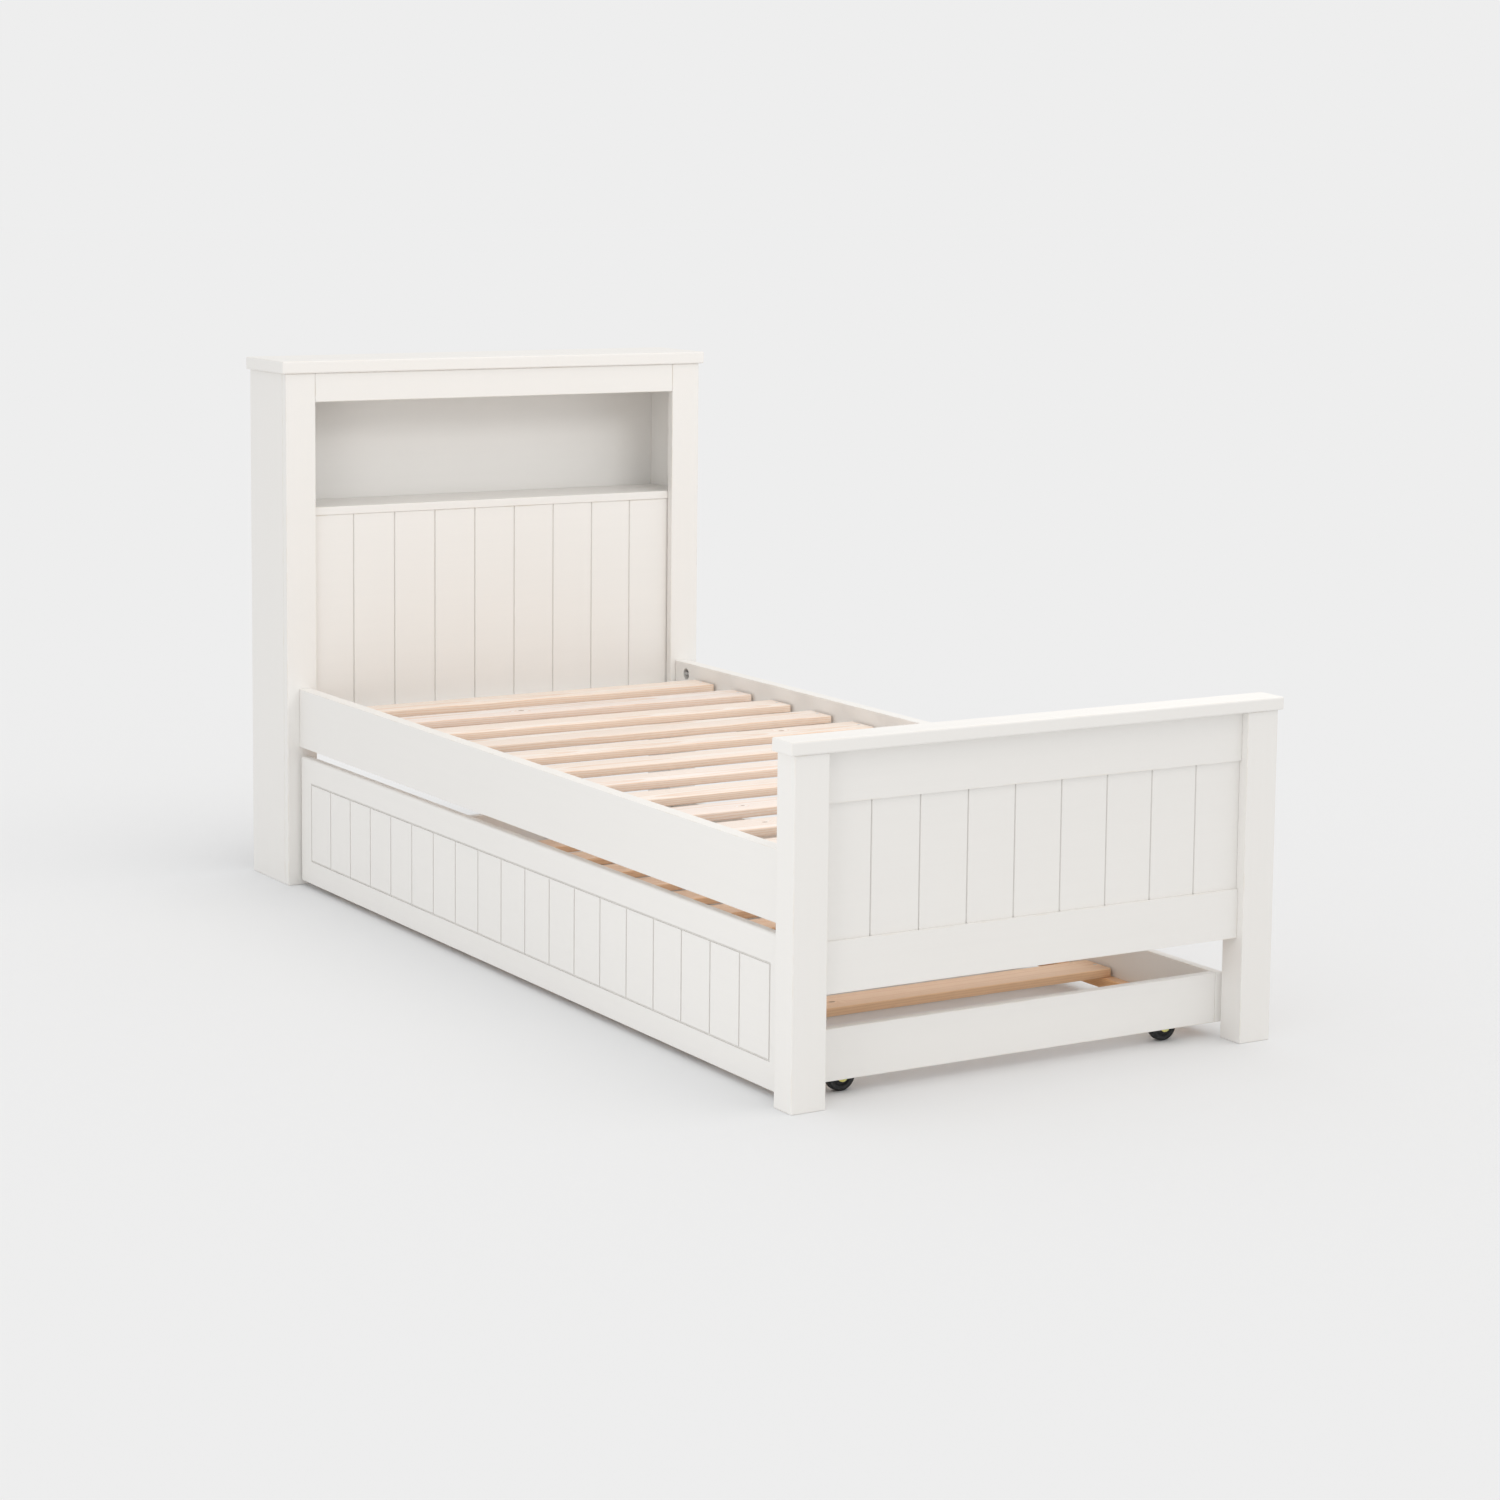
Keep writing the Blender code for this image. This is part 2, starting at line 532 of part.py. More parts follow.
def make_castors(assembly):
    across = {"front": FRONT_INNER + WHEEL_FROM_FRONT, "back": TRUNDLE_BACK - TRUNDLE_WALL - WHEEL_FROM_BACK}
    wheel_middle = BRACKET_STEEL + BRACKET_SIDE_PLAY + WHEEL_WIDTH / 2
    for end, sign in (("foot", -1), ("head", 1)):
        wall = MIDDLE + sign * (WALL_FACE - TOUCH)
        for side, along_x in across.items():
            name = f"{end}_{side}"
            castor_bracket(f"castor_bracket_{name}", (along_x, wall, WHEEL_RADIUS), -sign, assembly)
            castor_wheel(f"castor_wheel_{name}", (along_x, wall - sign * wheel_middle, WHEEL_RADIUS), assembly)


def make_trundle():
    assembly = group("trundle", ((FRONT_OUTER + TRUNDLE_BACK) / 2, MIDDLE, 0))
    grooved_front(assembly)
    behind_front = FRONT_INNER + TOUCH
    back_inner = TRUNDLE_BACK - TRUNDLE_WALL
    for end, sign in (("foot", -1), ("head", 1)):
        outer, inner = MIDDLE + sign * TRUNDLE_HALF_LENGTH, MIDDLE + sign * WALL_FACE
        board(f"trundle_end_{end}", (behind_front, min(outer, inner), TRUNDLE_WALL_BOTTOM),
              (back_inner - TOUCH, max(outer, inner), WALL_TOP), WHITE_PAINT, assembly)
    board("trundle_back", (back_inner, MIDDLE - TRUNDLE_HALF_LENGTH, TRUNDLE_WALL_BOTTOM),
          (TRUNDLE_BACK, MIDDLE + TRUNDLE_HALF_LENGTH, WALL_TOP), WHITE_PAINT, assembly)
    half = WALL_FACE - TOUCH
    ledger_top = TRUNDLE_WALL_BOTTOM + TRUNDLE_LEDGER_HEIGHT
    for side, low in (("front", behind_front), ("back", back_inner - TOUCH - LEDGER_WIDTH)):
        board(f"trundle_ledger_{side}", (low, MIDDLE - half, TRUNDLE_WALL_BOTTOM),
              (low + LEDGER_WIDTH, MIDDLE + half, ledger_top), PINE, assembly)
    for number in range(TRUNDLE_SLAT_COUNT):
        back = MIDDLE + WALL_FACE - TRUNDLE_HEAD_SLAT_GAP - number * TRUNDLE_SLAT_PITCH
        board(f"trundle_slat_{number + 1:02d}",
              (FRONT_INNER + TRUNDLE_SLAT_END_GAP, back - SLAT_WIDTH, TRUNDLE_SLAT_BOTTOM),
              (back_inner - TRUNDLE_SLAT_END_GAP, back, TRUNDLE_SLAT_BOTTOM + SLAT_THICKNESS),
              PINE, assembly)
    make_castors(assembly)


def main():
    clear_scene()
    make_headboard()
    make_footboard()
    make_bed_frame()
    make_trundle()


main()
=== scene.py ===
"""Finish, slats, castors and fittings of a single trundle bed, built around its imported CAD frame."""

import json
import math
import random

import bmesh
import bpy
from mathutils import Matrix, Vector

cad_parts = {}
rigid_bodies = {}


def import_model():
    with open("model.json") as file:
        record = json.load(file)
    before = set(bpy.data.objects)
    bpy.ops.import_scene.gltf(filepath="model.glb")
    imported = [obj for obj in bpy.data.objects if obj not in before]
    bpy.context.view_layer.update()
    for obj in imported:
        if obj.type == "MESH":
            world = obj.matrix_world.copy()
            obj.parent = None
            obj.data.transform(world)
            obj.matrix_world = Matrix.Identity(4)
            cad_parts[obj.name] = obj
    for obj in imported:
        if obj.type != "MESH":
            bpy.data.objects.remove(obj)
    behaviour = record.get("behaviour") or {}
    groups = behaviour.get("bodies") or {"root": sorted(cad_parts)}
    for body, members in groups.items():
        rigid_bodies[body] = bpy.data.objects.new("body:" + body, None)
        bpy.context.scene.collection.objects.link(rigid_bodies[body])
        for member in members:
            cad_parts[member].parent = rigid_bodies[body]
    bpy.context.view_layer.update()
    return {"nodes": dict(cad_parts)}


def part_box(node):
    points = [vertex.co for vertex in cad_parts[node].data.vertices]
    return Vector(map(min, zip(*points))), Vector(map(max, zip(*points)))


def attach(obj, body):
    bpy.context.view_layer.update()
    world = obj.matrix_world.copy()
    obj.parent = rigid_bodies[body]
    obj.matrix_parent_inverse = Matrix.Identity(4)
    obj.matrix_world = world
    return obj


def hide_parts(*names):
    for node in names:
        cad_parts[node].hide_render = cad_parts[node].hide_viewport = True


bl_info = {
    "name": "Trundle Bed",
    "version": (1, 0, 0),
    "blender": (4, 5, 0),
    "location": "View3D > Sidebar > Trundle Bed",
    "description": "Builds the finishes, slats, castors and fittings of a single trundle bed",
    "category": "Object",
}

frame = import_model()

SIDES = ("left", "right")
CASTORS = ("foot_front", "foot_back", "head_front", "head_back")

# Boards and grooves, as the frame has them
END_BOARDS = 9
FRONT_BOARDS = 19
FRONT_FIELD_SIDE = 0.053
FRONT_FIELD_TOP = 0.054
FRONT_FIELD_BOTTOM = 0.051

# Connecting bolts, in the round pockets of the side rails
BOLT_FROM_END = 0.050
BOLT_BELOW_TOP = 0.026
POCKET_RADIUS = 0.013
POCKET_DEPTH = 0.016
BOLT_THREAD = 0.006
BOLT_END = 0.0135
NUT_ACROSS_FLATS = 0.010
NUT_HEIGHT = 0.005
NUT_OFF_WALL = 0.0022
WASHER_BORE = 0.0031
WASHER_RADIUS = 0.0068
WASHER_THICKNESS = 0.0014
WASHER_OFF_WALL = 0.0006

# Ledger screws and back panel pins
LEDGER_SCREWS = 7
LEDGER_SCREW_FROM_END = 0.060
LEDGER_SCREW_HEAD = 0.0075
PIN_COLUMNS = 9
PIN_SPACES_UP = 7
PIN_FROM_EDGE = 0.009
PIN_HEAD = 0.0032
PIN_RISE = 0.0004

# Castors. A bush, a thin black disc at an end of the axle that shows as a dark ring round it, is its radius,
# thickness and taper.
STEEL = 0.002
EAR_RADIUS = 0.011
BEND = 0.0025
BRACKET_CORNER = 0.004
ROOF_OVER_WHEEL = 0.004
AXLE_RADIUS = 0.004
AXLE_PLAY = 0.0003
RIVET_RISE = 0.0014
CASTOR_SCREW_FROM_AXLE = 0.013
CASTOR_SCREW_BELOW_TOP = 0.011
CASTOR_SCREW_HEAD = 0.0085
CASTOR_SCREW_RISE = 0.0019
BUSH_BORE = 0.0028
OUTER_BUSH = (0.0072, 0.0008, 0.0002)
INNER_BUSH = (0.0055, 0.0001, 0.0001)

# Slats and ledgers. A tint is how far the pine goes to the colour of its sawn edges; the trundle's tints are
# painted shade, darkening the trundle that sits under the bed.
BED_SLAT_CORNER = 0.0025
TRUNDLE_SLAT_SHADE = 0.52
TRUNDLE_LEDGER_SHADE = 0.75


def numbered(stem):
    """The CAD nodes of one numbered series, in order."""
    return sorted(name for name in frame["nodes"] if name.startswith(stem))


# ---- Settings that a user would change ----


class PaintSettings(bpy.types.PropertyGroup):
    """The satin white paint."""

    colour: bpy.props.FloatVectorProperty(
        name="Colour", description="Paint colour", subtype="COLOR", size=3,
        default=(0.860, 0.843, 0.815), min=0, max=1
    )
    # painted shade: how far the paint goes toward a dark colour in its grooves and bolt pockets
    groove_shade: bpy.props.FloatProperty(
        name="Groove shade", description="How dark the paint looks in a groove", subtype="FACTOR",
        default=0.18, min=0, max=1
    )
    roughness: bpy.props.FloatProperty(
        name="Roughness", description="Roughness of the satin sheen", subtype="FACTOR",
        default=0.40, min=0, max=1
    )


class PineSettings(bpy.types.PropertyGroup):
    """The bare pine of the slats and the trundle's ledgers."""

    pale: bpy.props.FloatVectorProperty(
        name="Planed face", description="Colour of the soft wood on planed faces", subtype="COLOR", size=3,
        default=(0.92, 0.85, 0.795), min=0, max=1
    )
    ring: bpy.props.FloatVectorProperty(
        name="Growth ring", description="Colour of the hard part of a growth ring", subtype="COLOR", size=3,
        default=(0.76, 0.46, 0.27), min=0, max=1
    )
    # the edge colour is partly the sawn wood's own colour and partly painted shade on the boards' sides
    edge: bpy.props.FloatVectorProperty(
        name="Sawn edge", description="Colour that the sawn edges are tinted to", subtype="COLOR", size=3,
        default=(0.95, 0.56, 0.27), min=0, max=1
    )
    ring_spacing: bpy.props.FloatProperty(
        name="Ring spacing", description="Distance from one growth ring to the next", subtype="DISTANCE",
        unit="LENGTH", default=0.0036, min=0.001, max=0.01
    )
    arris: bpy.props.FloatProperty(
        name="Slat arris", description="Radius of a slat's eased edges", subtype="DISTANCE", unit="LENGTH",
        default=0.002, min=0.0005, max=0.005
    )
    trundle_corner: bpy.props.FloatProperty(
        name="Trundle slat corner", description="Radius of a trundle slat's corners, seen from above",
        subtype="DISTANCE", unit="LENGTH", default=0.008, min=0.001, max=0.02
    )


class FittingSettings(bpy.types.PropertyGroup):
    """Screws, bolts and castors."""

    slat_screw: bpy.props.FloatProperty(
        name="Slat screw head", description="Diameter of a slat screw's head", subtype="DISTANCE",
        unit="LENGTH", default=0.0075, min=0.004, max=0.012
    )
    screw_from_end: bpy.props.FloatProperty(
        name="Screw from slat end", description="Distance from a slat's end to its screw",
        subtype="DISTANCE", unit="LENGTH", default=0.011, min=0.006, max=0.02
    )
    tyre_roundness: bpy.props.FloatProperty(
        name="Tyre shoulder", description="Radius of the tyre's rounded shoulder", subtype="DISTANCE",
        unit="LENGTH", default=0.0045, min=0.001, max=0.008
    )
    rivet: bpy.props.FloatProperty(
        name="Axle rivet head", description="Diameter of the axle rivet's head", subtype="DISTANCE",
        unit="LENGTH", default=0.010, min=0.006, max=0.016
    )


class StageSettings(bpy.types.PropertyGroup):
    """The floor and the studio light."""

    backdrop: bpy.props.FloatProperty(
        name="Backdrop", description="Brightness of the backdrop", subtype="FACTOR",
        default=0.855, min=0, max=1
    )
    floor: bpy.props.FloatVectorProperty(
        name="Floor", description="How much light the floor returns", subtype="COLOR", size=3,
        default=(0.865, 0.876, 0.89), min=0.1, max=1
    )
    head_box: bpy.props.FloatProperty(
        name="Head softbox", description="Power of the softbox that faces the headboard", subtype="POWER",
        default=8.0, min=0
    )
    side_box: bpy.props.FloatProperty(
        name="Side softbox", description="Power of the softbox at the open side", subtype="POWER",
        default=12.0, min=0
    )
    foot_box: bpy.props.FloatProperty(
        name="Foot softbox", description="Power of the low softbox that lights the trundle alone",
        subtype="POWER", default=2.6, min=0
    )
    cap_box: bpy.props.FloatProperty(
        name="Cap softbox", description="Power of the high softbox over the footboard's cap",
        subtype="POWER", default=1.0, min=0
    )


# ---- Finishes ----


class Wire:
    """One output of a finish's node. Arithmetic on it adds Math nodes."""

    def __init__(self, finish, node, output=0):
        self.finish = finish
        self.node = node
        self.socket = node.outputs[output]

    def output(self, which):
        return Wire(self.finish, self.node, which)

    def __add__(self, other):
        return self.finish.maths("ADD", self, other)

    def __radd__(self, other):
        return self.finish.maths("ADD", other, self)

    def __sub__(self, other):
        return self.finish.maths("SUBTRACT", self, other)

    def __rsub__(self, other):
        return self.finish.maths("SUBTRACT", other, self)

    def __mul__(self, other):
        return self.finish.maths("MULTIPLY", self, other)

    def __rmul__(self, other):
        return self.finish.maths("MULTIPLY", other, self)

    def __truediv__(self, other):
        return self.finish.maths("DIVIDE", self, other)

    def __rtruediv__(self, other):
        return self.finish.maths("DIVIDE", other, self)

    def __abs__(self):
        return self.finish.maths("ABSOLUTE", self)


class Finish:
    """A surface finish: one material, with its nodes made by name and joined by expressions."""

    def __init__(self, name):
        self.material = bpy.data.materials.new(name)
        self.material.use_nodes = True
        self.tree = self.material.node_tree
        self.shader = self.tree.nodes["Principled BSDF"]
        self.place = self.add("ShaderNodeTexCoord").output("Object")

    def add(self, kind, settings=None, inputs=None):
        """Adds one node. Its settings are set before its sockets are given values or links."""
        node = self.tree.nodes.new(kind)
        for key, value in (settings or {}).items():
            setattr(node, key, value)
        for key, value in (inputs or {}).items():
            self.feed(node.inputs[key], value)
        return Wire(self, node)

    def feed(self, socket, value):
        if isinstance(value, Wire):
            self.tree.links.new(value.socket, socket)
        else:
            socket.default_value = value

    def maths(self, operation, *values):
        return self.add("ShaderNodeMath", {"operation": operation}, dict(enumerate(values)))

    def least(self, one, other):
        return self.maths("MINIMUM", one, other)

    def most(self, one, other):
        return self.maths("MAXIMUM", one, other)

    def rise(self, value, low, high):
        """0 below low, 1 above high, with a smooth step between."""
        return self.add("ShaderNodeMapRange", {"interpolation_type": "SMOOTHSTEP"},
                        {"Value": value, "From Min": low, "From Max": high})

    def axes(self):
        split = self.add("ShaderNodeSeparateXYZ", inputs={0: self.place})
        return [split.output(axis) for axis in range(3)]

    def stretched(self, scales):
        return self.add("ShaderNodeVectorMath", {"operation": "MULTIPLY"}, {0: self.place, 1: scales})

    def noise(self, vector, scale, detail=2.0, roughness=0.5):
        return self.add("ShaderNodeTexNoise",
                        inputs={"Vector": vector, "Scale": scale, "Detail": detail, "Roughness": roughness})

    def mix(self, factor, one, other):
        """Goes from one colour to the other as the factor goes from 0 to 1."""
        ends = [value if isinstance(value, Wire) else (*value, 1) for value in (one, other)]
        made = self.add("ShaderNodeMix", {"data_type": "RGBA"}, {0: factor, 6: ends[0], 7: ends[1]})
        return made.output(2)

    def dim(self, colour, amount):
        """A colour times a brightness."""
        return self.add("ShaderNodeVectorMath", {"operation": "SCALE"}, {0: colour, "Scale": amount})

    def depths(self, low, high):
        """How far a point is inside each pair of faces of a board."""
        return [(high[axis] - low[axis]) / 2 - abs(wire - (low[axis] + high[axis]) / 2)
                for axis, wire in enumerate(self.axes())]

    def arris(self, depths):
        """On a board's surface, the distance to the nearest edge."""
        one, two, three = depths
        return self.most(self.least(one, two), self.least(self.most(one, two), three))

    def wear(self, colour, roughness, height, relief):
        """Joins the finish's colour, roughness and relief to its shader."""
        self.feed(self.shader.inputs["Base Color"], colour)
        self.feed(self.shader.inputs["Roughness"], roughness)
        bump = self.add("ShaderNodeBump", inputs={"Strength": 1.0, "Distance": relief, "Height": height})
        self.feed(self.shader.inputs["Normal"], bump)
        return self.material


def longest(low, high):
    sizes = [high[axis] - low[axis] for axis in range(3)]
    return sizes.index(max(sizes))


def along_grain(axis, lengthways, crossways):
    """Scales that draw a pattern out along the grain."""
    scales = [crossways] * 3
    scales[axis] = lengthways
    return tuple(scales)


def upright_grooves(finish, low, high):
    """The V grooves between the boards of an end panel, on its front, as a mask for their painted shade. They
    end at a depth below it.
    """
    bottom_start, bottom_end = 0.0035, 0.005
    middle, lip = 0.0005, 0.0016
    x, y, _ = finish.axes()
    at_head = low.y > 0
    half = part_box("head_top_rail")[1].x if at_head else -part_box("foot_post_left")[1].x
    pitch = 2 * half / END_BOARDS
    off = abs(finish.maths("FRACT", (x + half) / pitch + 0.5) - 0.5) * pitch
    front = 1 - finish.rise(y, low.y + bottom_start, low.y + bottom_end)
    return (1 - finish.rise(off, middle, lip)) * front


def routed_grooves(finish, low, high):
    """The routed lines of the trundle's front: a frame, and the boards inside it, as a mask for their painted
    shade.
    """
    bottom_start, bottom_end = 0.004, 0.006
    middle, lip = 0.0012, 0.0026
    frame_start, frame_end = 0.002, 0.003
    x, y, z = finish.axes()
    start, end = low.y + FRONT_FIELD_SIDE, high.y - FRONT_FIELD_SIDE
    bottom, top = low.z + FRONT_FIELD_BOTTOM, high.z - FRONT_FIELD_TOP
    pitch = (end - start) / FRONT_BOARDS
    off = abs(finish.maths("FRACT", (y - start) / pitch + 0.5) - 0.5) * pitch
    level = finish.least(abs(z - bottom), abs(z - top))
    past_end = abs(y - (start + end) / 2) - (end - start) / 2
    past_top = abs(z - (bottom + top) / 2) - (top - bottom) / 2
    within_length = 1 - finish.rise(past_end, frame_start, frame_end)
    within_height = 1 - finish.rise(past_top, frame_start, frame_end)
    line = 1 - finish.rise(finish.least(off, level), middle, lip)
    front = 1 - finish.rise(x, low.x + bottom_start, low.x + bottom_end)
    return line * (within_length * within_height) * front


def bolt_pockets(finish, low, high):
    """Inside a side rail's bolt pockets, up to just past their rims: a mask for painted shade in the recess,
    which partly stands for the bare wood of the bore.
    """
    rim_start, rim_end = 0.0002, 0.0008
    _, y, z = finish.axes()
    along = finish.least(abs(y - (low.y + BOLT_FROM_END)), abs(y - (high.y - BOLT_FROM_END)))
    up = z - (high.z - BOLT_BELOW_TOP)
    radius = finish.maths("SQRT", along * along + up * up)
    inset = finish.rise(finish.depths(low, high)[0], 0.0006, 0.002)
    return (1 - finish.rise(radius, POCKET_RADIUS + rim_start, POCKET_RADIUS + rim_end)) * inset


def paint(node, settings, dark=None, shade_colour=(0.30, 0.285, 0.26)):
    """Satin white paint over one board. Its grain shows faintly, and its edges are worn in. Painted shade
    darkens its grooves, and the bolt pockets of a side rail.
    """
    low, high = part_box(node)
    finish = Finish(f"white_paint_{node}")
    axis = longest(low, high)
    colour = tuple(settings.colour)
    tone = finish.noise(finish.stretched((1, 1, 1)), 1.6, 2.0)
    streak = finish.noise(finish.stretched(along_grain(axis, 2.5, 90)), 1.0, 3.0, 0.6)
    grain = finish.noise(finish.stretched(along_grain(axis, 14, 520)), 1.0, 4.0, 0.65)
    stipple = finish.noise(finish.place, 950, 2.0)
    edge = 1 - finish.rise(finish.arris(finish.depths(low, high)), 0.0004, 0.0028)
    patchy = finish.rise(finish.noise(finish.place, 23, 3.0), 0.42, 0.68)
    level = 0.965 + 0.035 * tone + 0.018 * streak + 0.008 * grain
    painted = finish.dim(colour, level)
    thin = tuple(part * shade for part, shade in zip(colour, (0.93, 0.89, 0.82)))
    painted = finish.mix(edge * patchy * 0.55, painted, thin)
    # painted shade in the grooves and bolt pockets, toward the shade colour
    if dark is not None:
        painted = finish.mix(dark(finish, low, high) * settings.groove_shade, painted, shade_colour)
    rough = settings.roughness + 0.10 * (streak - 0.5) + 0.06 * (stipple - 0.5) + 0.10 * edge * patchy
    height = 0.45 * stipple + 0.30 * grain + 0.25 * streak
    return finish.wear(painted, rough, height, 0.00009)


def pine(name, low, high, seed, settings, shade_tint=0.0):
    """Bare pine for one board: growth rings round a heart below it, fibre, sawn edges and end grain. The
    sides go toward the edge colour, partly the sawn wood's own colour and partly painted shade.
    """
    chance = random.Random(seed)
    finish = Finish(name)
    axis = longest(low, high)
    deep = min(range(3), key=lambda number: high[number] - low[number])
    wide = 3 - axis - deep
    places = finish.axes()
    depths = finish.depths(low, high)
    width, length = high[wide] - low[wide], high[axis] - low[axis]
    heart_wide = low[wide] + width * chance.uniform(0.1, 0.9)
    heart_deep = low[deep] - chance.uniform(0.018, 0.075)
    drift = finish.noise(finish.stretched(along_grain(axis, 1.1, 3.0)), 1.0, 2.0) - 0.5
    waver = finish.noise(finish.stretched(along_grain(axis, 5.0, 26.0)), 1.0, 3.0) - 0.5
    across = places[wide] - heart_wide + drift * chance.uniform(0.02, 0.09)
    tilt = (places[axis] - low[axis]) * chance.uniform(-0.02, 0.02)
    through = places[deep] - heart_deep + tilt + drift * 0.02
    radius = finish.maths("SQRT", across * across + through * through) + waver * 0.0022
    knot_mask = None
    if chance.random() < 0.4:
        along_knot = low[axis] + length * chance.uniform(0.15, 0.85)
        beside_knot = low[wide] + width * chance.uniform(0.25, 0.75)
        along = (places[axis] - along_knot) * 0.6
        beside = places[wide] - beside_knot
        off_knot = finish.maths("SQRT", along * along + beside * beside) + waver * 0.002
        size = chance.uniform(0.0028, 0.0055)
        knot_mask = 1 - finish.rise(off_knot, size * 0.75, size * 1.15)
        radius = radius + 0.006 * (1 - finish.rise(off_knot, size * 0.8, size * 4.5))
    ring = finish.maths("FRACT", radius / settings.ring_spacing + chance.random())
    late = finish.rise(ring, 0.35, 0.88) * (1 - finish.rise(ring, 0.90, 0.99))
    fibre = finish.noise(finish.stretched(along_grain(axis, 9.0, 620.0)), 1.0, 3.0, 0.6)
    flecks = finish.noise(finish.stretched(along_grain(axis, 38.0, 1500.0)), 1.0, 2.0)
    fleck = finish.rise(flecks, 0.60, 0.72)
    tone = finish.noise(finish.stretched(along_grain(axis, 1.6, 11.0)), 1.0, 2.0)
    shade, warmth = chance.uniform(0.96, 1.0), chance.uniform(-0.02, 0.02)
    pale = tuple(part * shade + warmth * step for part, step in zip(settings.pale, (0.5, 0, -1)))
    # partly painted shade: the sides and the rims of the faces go toward the darker orange edge colour, and
    # the shade tint takes the whole board there too
    planed = finish.rise(finish.least(depths[wide], depths[axis]), 0.0008, 0.0030)
    edge_tint_and_shade = finish.least((1 - planed) * 0.22 + shade_tint, 1.0)
    colour = finish.mix(edge_tint_and_shade, pale, tuple(settings.edge))
    colour = finish.mix(late * 0.42 + fibre * 0.08, colour, tuple(settings.ring))
    colour = finish.mix(fleck * 0.25, colour, tuple(part * 0.7 for part in settings.ring))
    cut_end = 1 - finish.rise(depths[axis], 0.0002, 0.0012)
    end_colour = tuple(part * 0.62 for part in settings.edge)
    colour = finish.mix(cut_end * (0.35 + 0.4 * late), colour, end_colour)
    if knot_mask is not None:
        heart = finish.rise(finish.noise(finish.place, 420, 2.0), 0.35, 0.7)
        colour = finish.mix(knot_mask * (0.6 + 0.3 * heart), colour, (0.26, 0.115, 0.045))
    colour = finish.dim(colour, 0.93 + 0.14 * tone)
    rough = 0.50 + 0.14 * fibre + 0.12 * cut_end - 0.08 * late
    height = 0.55 * fibre + 0.35 * late - 0.30 * fleck
    return finish.wear(colour, rough, height, 0.00022)


def bright_zinc(name):
    """Blue-white zinc plating, with fine handling scratches."""
    finish = Finish(name)
    cloud = finish.noise(finish.place, 240, 3.0)
    scratch = finish.noise(finish.stretched((300, 4200, 1800)), 1.0, 3.0, 0.7)
    colour = finish.mix(cloud, (0.60, 0.61, 0.62), (0.80, 0.80, 0.79))
    finish.shader.inputs["Metallic"].default_value = 1.0
    return finish.wear(colour, 0.24 + 0.18 * cloud + 0.10 * scratch, 0.6 * scratch + 0.4 * cloud, 0.00003)


def yellow_zinc():
    """Yellow-passivated zinc plating, with its faint green and rose bloom."""
    finish = Finish("yellow_zinc")
    bloom = finish.noise(finish.place, 95, 3.0, 0.6)
    cloud = finish.noise(finish.place, 420, 2.0)
    scratch = finish.noise(finish.stretched((2600, 500, 3200)), 1.0, 3.0, 0.7)
    colour = finish.mix(finish.rise(bloom, 0.35, 0.62), (0.78, 0.80, 0.30), (0.84, 0.74, 0.26))
    colour = finish.mix(finish.rise(bloom, 0.60, 0.78) * 0.6, colour, (0.78, 0.50, 0.34))
    colour = finish.dim(colour, 0.86 + 0.2 * cloud)
    finish.shader.inputs["Metallic"].default_value = 1.0
    return finish.wear(colour, 0.28 + 0.16 * cloud + 0.10 * scratch, 0.5 * scratch + 0.5 * cloud, 0.00004)


def black_rubber():
    """Moulded black rubber, dusty and scuffed on the tread."""
    finish = Finish("black_rubber")
    dust = finish.noise(finish.place, 160, 4.0, 0.65)
    pores = finish.noise(finish.place, 2600, 2.0)
    colour = finish.mix(finish.rise(dust, 0.50, 0.80), (0.012, 0.012, 0.013), (0.060, 0.058, 0.055))
    return finish.wear(colour, 0.52 + 0.22 * dust, 0.6 * pores + 0.4 * dust, 0.00006)


# ---- Pieces ----


def make_piece(name, shape, material, body, crease=35):
    """Turns a bmesh into a piece that rides on a body of the bed."""
    bmesh.ops.recalc_face_normals(shape, faces=shape.faces)
    mesh = bpy.data.meshes.new(name)
    shape.to_mesh(mesh)
    shape.free()
    mesh.materials.append(material)
    mesh.shade_smooth()
    mesh.set_sharp_from_angle(angle=math.radians(crease))
    piece = bpy.data.objects.new(name, mesh)
    bpy.context.scene.collection.objects.link(piece)
    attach(piece, body)
    return piece


def slat_shape(low, high, corner, arris):
    """A slat with rounded corners and eased top and bottom edges."""
    shape = bmesh.new()
    bmesh.ops.create_cube(shape, size=1)
    bmesh.ops.scale(shape, vec=high - low, verts=shape.verts)
    bmesh.ops.translate(shape, vec=(low + high) / 2, verts=shape.verts)
    upright = [edge for edge in shape.edges
               if abs(edge.verts[0].co.z - edge.verts[1].co.z) > (high.z - low.z) / 2]
    bmesh.ops.bevel(shape, geom=upright, offset=corner, segments=5, profile=0.5, affect="EDGES")
    rim = [edge for edge in shape.edges if edge.calc_face_angle() > math.radians(60)]
    bmesh.ops.bevel(shape, geom=rim, offset=arris, segments=3, profile=0.5, affect="EDGES")
    return shape


def turned(profile, sides=48):
    """A bmesh turned round Z from an outline of (radius, height) points. Points on the axis close it."""
    shape = bmesh.new()
    verts = [shape.verts.new((radius, 0, height)) for radius, height in profile]
    edges = [shape.edges.new(pair) for pair in zip(verts, verts[1:])]
    bmesh.ops.spin(shape, geom=verts + edges, cent=(0, 0, 0), axis=(0, 0, 1), dvec=(0, 0, 0),
                   angle=2 * math.pi, steps=sides, use_merge=True)
    bmesh.ops.remove_doubles(shape, verts=shape.verts, dist=0.000001)
    return shape


def added(shape, other, turn):
    """Adds another bmesh, moved by a matrix, to a shape."""
    mesh = bpy.data.meshes.new("part")
    other.to_mesh(mesh)
    other.free()
    mesh.transform(turn)
    shape.from_mesh(mesh)
    bpy.data.meshes.remove(mesh)


